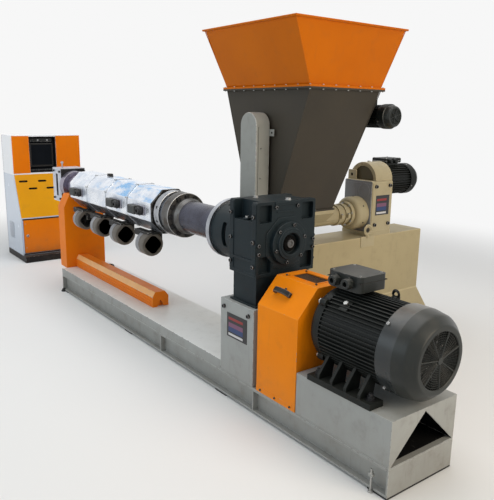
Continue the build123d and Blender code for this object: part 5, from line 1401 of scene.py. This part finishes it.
def cabinetScreen():
    # monitor in the recess: bezel, glass and plain bars
    bm = newShape()
    left, right = cabinet["screenNear"] + 0.010, cabinet["screenFar"] - 0.010
    back = cabinet["head"] - 0.070
    addBox(bm, (back, left + 0.012, 1.075), (back + 0.022, right - 0.012, 1.345), 0.004, 0)
    addBox(bm, (back + 0.020, left + 0.026, 1.092), (back + 0.0235, right - 0.026, 1.330), 0.001, 1)
    addBox(bm, (back + 0.002, left + 0.020, 1.362), (back + 0.030, right - 0.020, 1.402), 0.004, 2)
    for step in range(4):
        y = left + 0.050 + step * 0.055
        addRod(bm, (back + 0.029, y, 1.382), (back + 0.036, y, 1.382), 0.010, 20, 3 if step % 2 else 2, 0.001)
    addBox(bm, (back + 0.002, left + 0.004, 1.031), (back + 0.060, right - 0.004, 1.040), 0.002, 2)
    for step in range(10):
        y = left + 0.016 + step * 0.0265
        addBox(bm, (back + 0.008, y, 1.040), (back + 0.052, y + 0.018, 1.046), 0.002, 0)
    publish(bm, "cabinetMonitor", ["handleBlack", "screenBlack", "darkGreyAndCowlSheen", "turnedSteel"])


def cabinetSides():
    # louvres, seams and the rear door on the white box
    bm = newShape()
    back, near, far = cabinet["back"], cabinet["near"], cabinet["far"]
    for side, y in ((-1, near), (1, far)):
        for row in range(9):
            z = 0.24 + row * 0.022
            addBox(bm, (back + 0.120, y - side * 0.001, z), (back + 0.300, y + side * 0.003, z + 0.010), 0.0012)
            # dark strip under each louvre: painted shade
            addBox(bm, (back + 0.124, y, z - 0.004), (back + 0.296, y + side * 0.0032, z), 0, 2)
        addBox(bm, (back + 0.012, y, 0.082), (back + 0.014, y + side * 0.0006, 1.428), 0, 2)
    # rear door with two latches and hinges
    addBox(bm, (back - 0.004, near + 0.020, 0.120), (back, far - 0.020, 1.415), 0.002, 0)
    for z in (0.400, 1.100):
        addBox(bm, (back - 0.012, near + 0.040, z), (back - 0.003, near + 0.062, z + 0.080), 0.003, 1)
        addRod(bm, (back - 0.008, far - 0.022, z), (back - 0.008, far - 0.022, z + 0.070), 0.006, 12, 1)
    for row in range(8):
        addBox(bm, (back - 0.0065, 0.060, 0.26 + row * 0.024), (back - 0.0035, 0.340, 0.272 + row * 0.024), 0.001, 0)
    publish(bm, "cabinetFittings", ["cabinetWhite", "handleBlack", "innerDark"])


def doorFittings():
    # quarter-turn lock and the screws of the door
    bm = newShape()
    front = cabinet["front"]
    addTurned(bm, [(-0.001, 0.0), (-0.001, 0.016), (0.005, 0.016), (0.008, 0.013), (0.008, 0.0)],
              (front, -0.140, 0.300), alongX, 28)
    addBox(bm, (front + 0.007, -0.143, 0.290), (front + 0.012, -0.137, 0.310), 0.001, 1)
    for z in (0.160, 0.440):
        for y in (-0.160, 0.520):
            addRod(bm, (front - 0.0005, y, z), (front + 0.002, y, z), 0.005, 12, 0)
    publish(bm, "doorFittings", ["zincBolt", "handleBlack"], "door")


soften("cabinet_body", 0.003, "cabinetWhite", "cabinetBody")
soften("cabinet_plinth", 0.003, "plinthBlack", "cabinetPlinth")
soften("cabinet_screen", 0.002, "screenBlack", "screenTray")
# the door takes the lighter orange: painted light
soften("cabinet_door", 0.003, "brightOrange", "cabinetDoor")
cabinetPanels()
cabinetScreen()
cabinetSides()
doorFittings()
print("cabinet done")


# studio: pale floor, soft lamps and a white backdrop that only the camera, gloss and glass see
studio = {"floor": (0.80, 0.79, 0.77), "size": 60.0, "sky": 0.42, "backdrop": (0.93, 0.93, 0.93), "fade": (3.4, 6.4)}


def seenRays(tree):
    # 1 for camera, transmission and glossy rays
    path = tree.nodes.new("ShaderNodeLightPath")
    total = path.outputs["Is Camera Ray"]
    for kind in ("Is Transmission Ray", "Is Glossy Ray"):
        larger = tree.nodes.new("ShaderNodeMath")
        larger.operation = "MAXIMUM"
        tree.links.new(total, larger.inputs[0])
        tree.links.new(path.outputs[kind], larger.inputs[1])
        total = larger.outputs[0]
    return total


def makeFloor():
    bm = bmesh.new()
    bmesh.ops.create_grid(bm, x_segments=1, y_segments=1, size=studio["size"] / 2)
    mesh = bpy.data.meshes.new("studioFloor")
    bm.to_mesh(mesh)
    bm.free()
    floor = bpy.data.objects.new("studioFloor", mesh)
    bpy.context.scene.collection.objects.link(floor)
    paint = Finish("floorPaint", Roughness=0.85)
    shade = paint.mix(paint.noise(0.6, 4) * 0.3, studio["floor"], tuple(c * 0.95 for c in studio["floor"]))
    paint.feed(Base_Color=shade)
    # the far floor turns into the backdrop, so no horizon shows
    far = paint.node("ShaderNodeVectorMath", {"operation": "LENGTH"},
                     {0: paint.stretched((1, 1, 1), (-1.0, -0.4, 0))}, 1)
    glow = paint.tree.nodes.new("ShaderNodeEmission")
    glow.inputs["Color"].default_value = (*studio["backdrop"], 1)
    blend = paint.tree.nodes.new("ShaderNodeMixShader")
    fade = far.within(*studio["fade"]) * Wire(paint, seenRays(paint.tree))
    paint.tree.links.new(fade.socket, blend.inputs[0])
    paint.tree.links.new(paint.shader.outputs[0], blend.inputs[1])
    paint.tree.links.new(glow.outputs[0], blend.inputs[2])
    paint.tree.links.new(blend.outputs[0], paint.tree.nodes["Material Output"].inputs["Surface"])
    mesh.materials.append(paint.material)


def makeWorld():
    world = bpy.data.worlds.new("studioWorld")
    bpy.context.scene.world = world
    world.use_nodes = True
    tree = world.node_tree
    tree.nodes.clear()
    out = tree.nodes.new("ShaderNodeOutputWorld")
    soft = tree.nodes.new("ShaderNodeBackground")
    soft.inputs["Color"].default_value = (0.93, 0.96, 1.0, 1)
    soft.inputs["Strength"].default_value = studio["sky"]
    plain = tree.nodes.new("ShaderNodeBackground")
    plain.inputs["Color"].default_value = (*studio["backdrop"], 1)
    plain.inputs["Strength"].default_value = 1.0
    pick = tree.nodes.new("ShaderNodeMixShader")
    tree.links.new(seenRays(tree), pick.inputs[0])
    tree.links.new(soft.outputs[0], pick.inputs[1])
    tree.links.new(plain.outputs[0], pick.inputs[2])
    tree.links.new(pick.outputs[0], out.inputs["Surface"])


def makeLamp(name, place, target, size, power, colour):
    data = bpy.data.lights.new(name, "AREA")
    data.shape = "RECTANGLE"
    data.size, data.size_y = size
    data.energy = power
    data.color = colour
    lamp = bpy.data.objects.new(name, data)
    aim = Vector(target) - Vector(place)
    lamp.matrix_world = Matrix.Translation(place) @ aim.to_track_quat("-Z", "Y").to_matrix().to_4x4()
    bpy.context.scene.collection.objects.link(lamp)


makeFloor()
makeWorld()
makeLamp("skyPanel", (1.2, 0.2, 6.5), (1.2, 0.2, 0.0), (8.0, 5.0), 290, (0.96, 0.98, 1.0))
makeLamp("frontPanel", (1.0, -6.5, 3.4), (1.5, 0.0, 0.8), (6.0, 3.0), 105, (0.76, 0.90, 1.0))
makeLamp("endPanel", (8.0, 1.0, 3.0), (2.0, 0.3, 0.8), (3.0, 3.0), 135, (1.0, 0.86, 0.66))
bpy.context.scene.view_settings.view_transform = "Standard"
print("studio done")
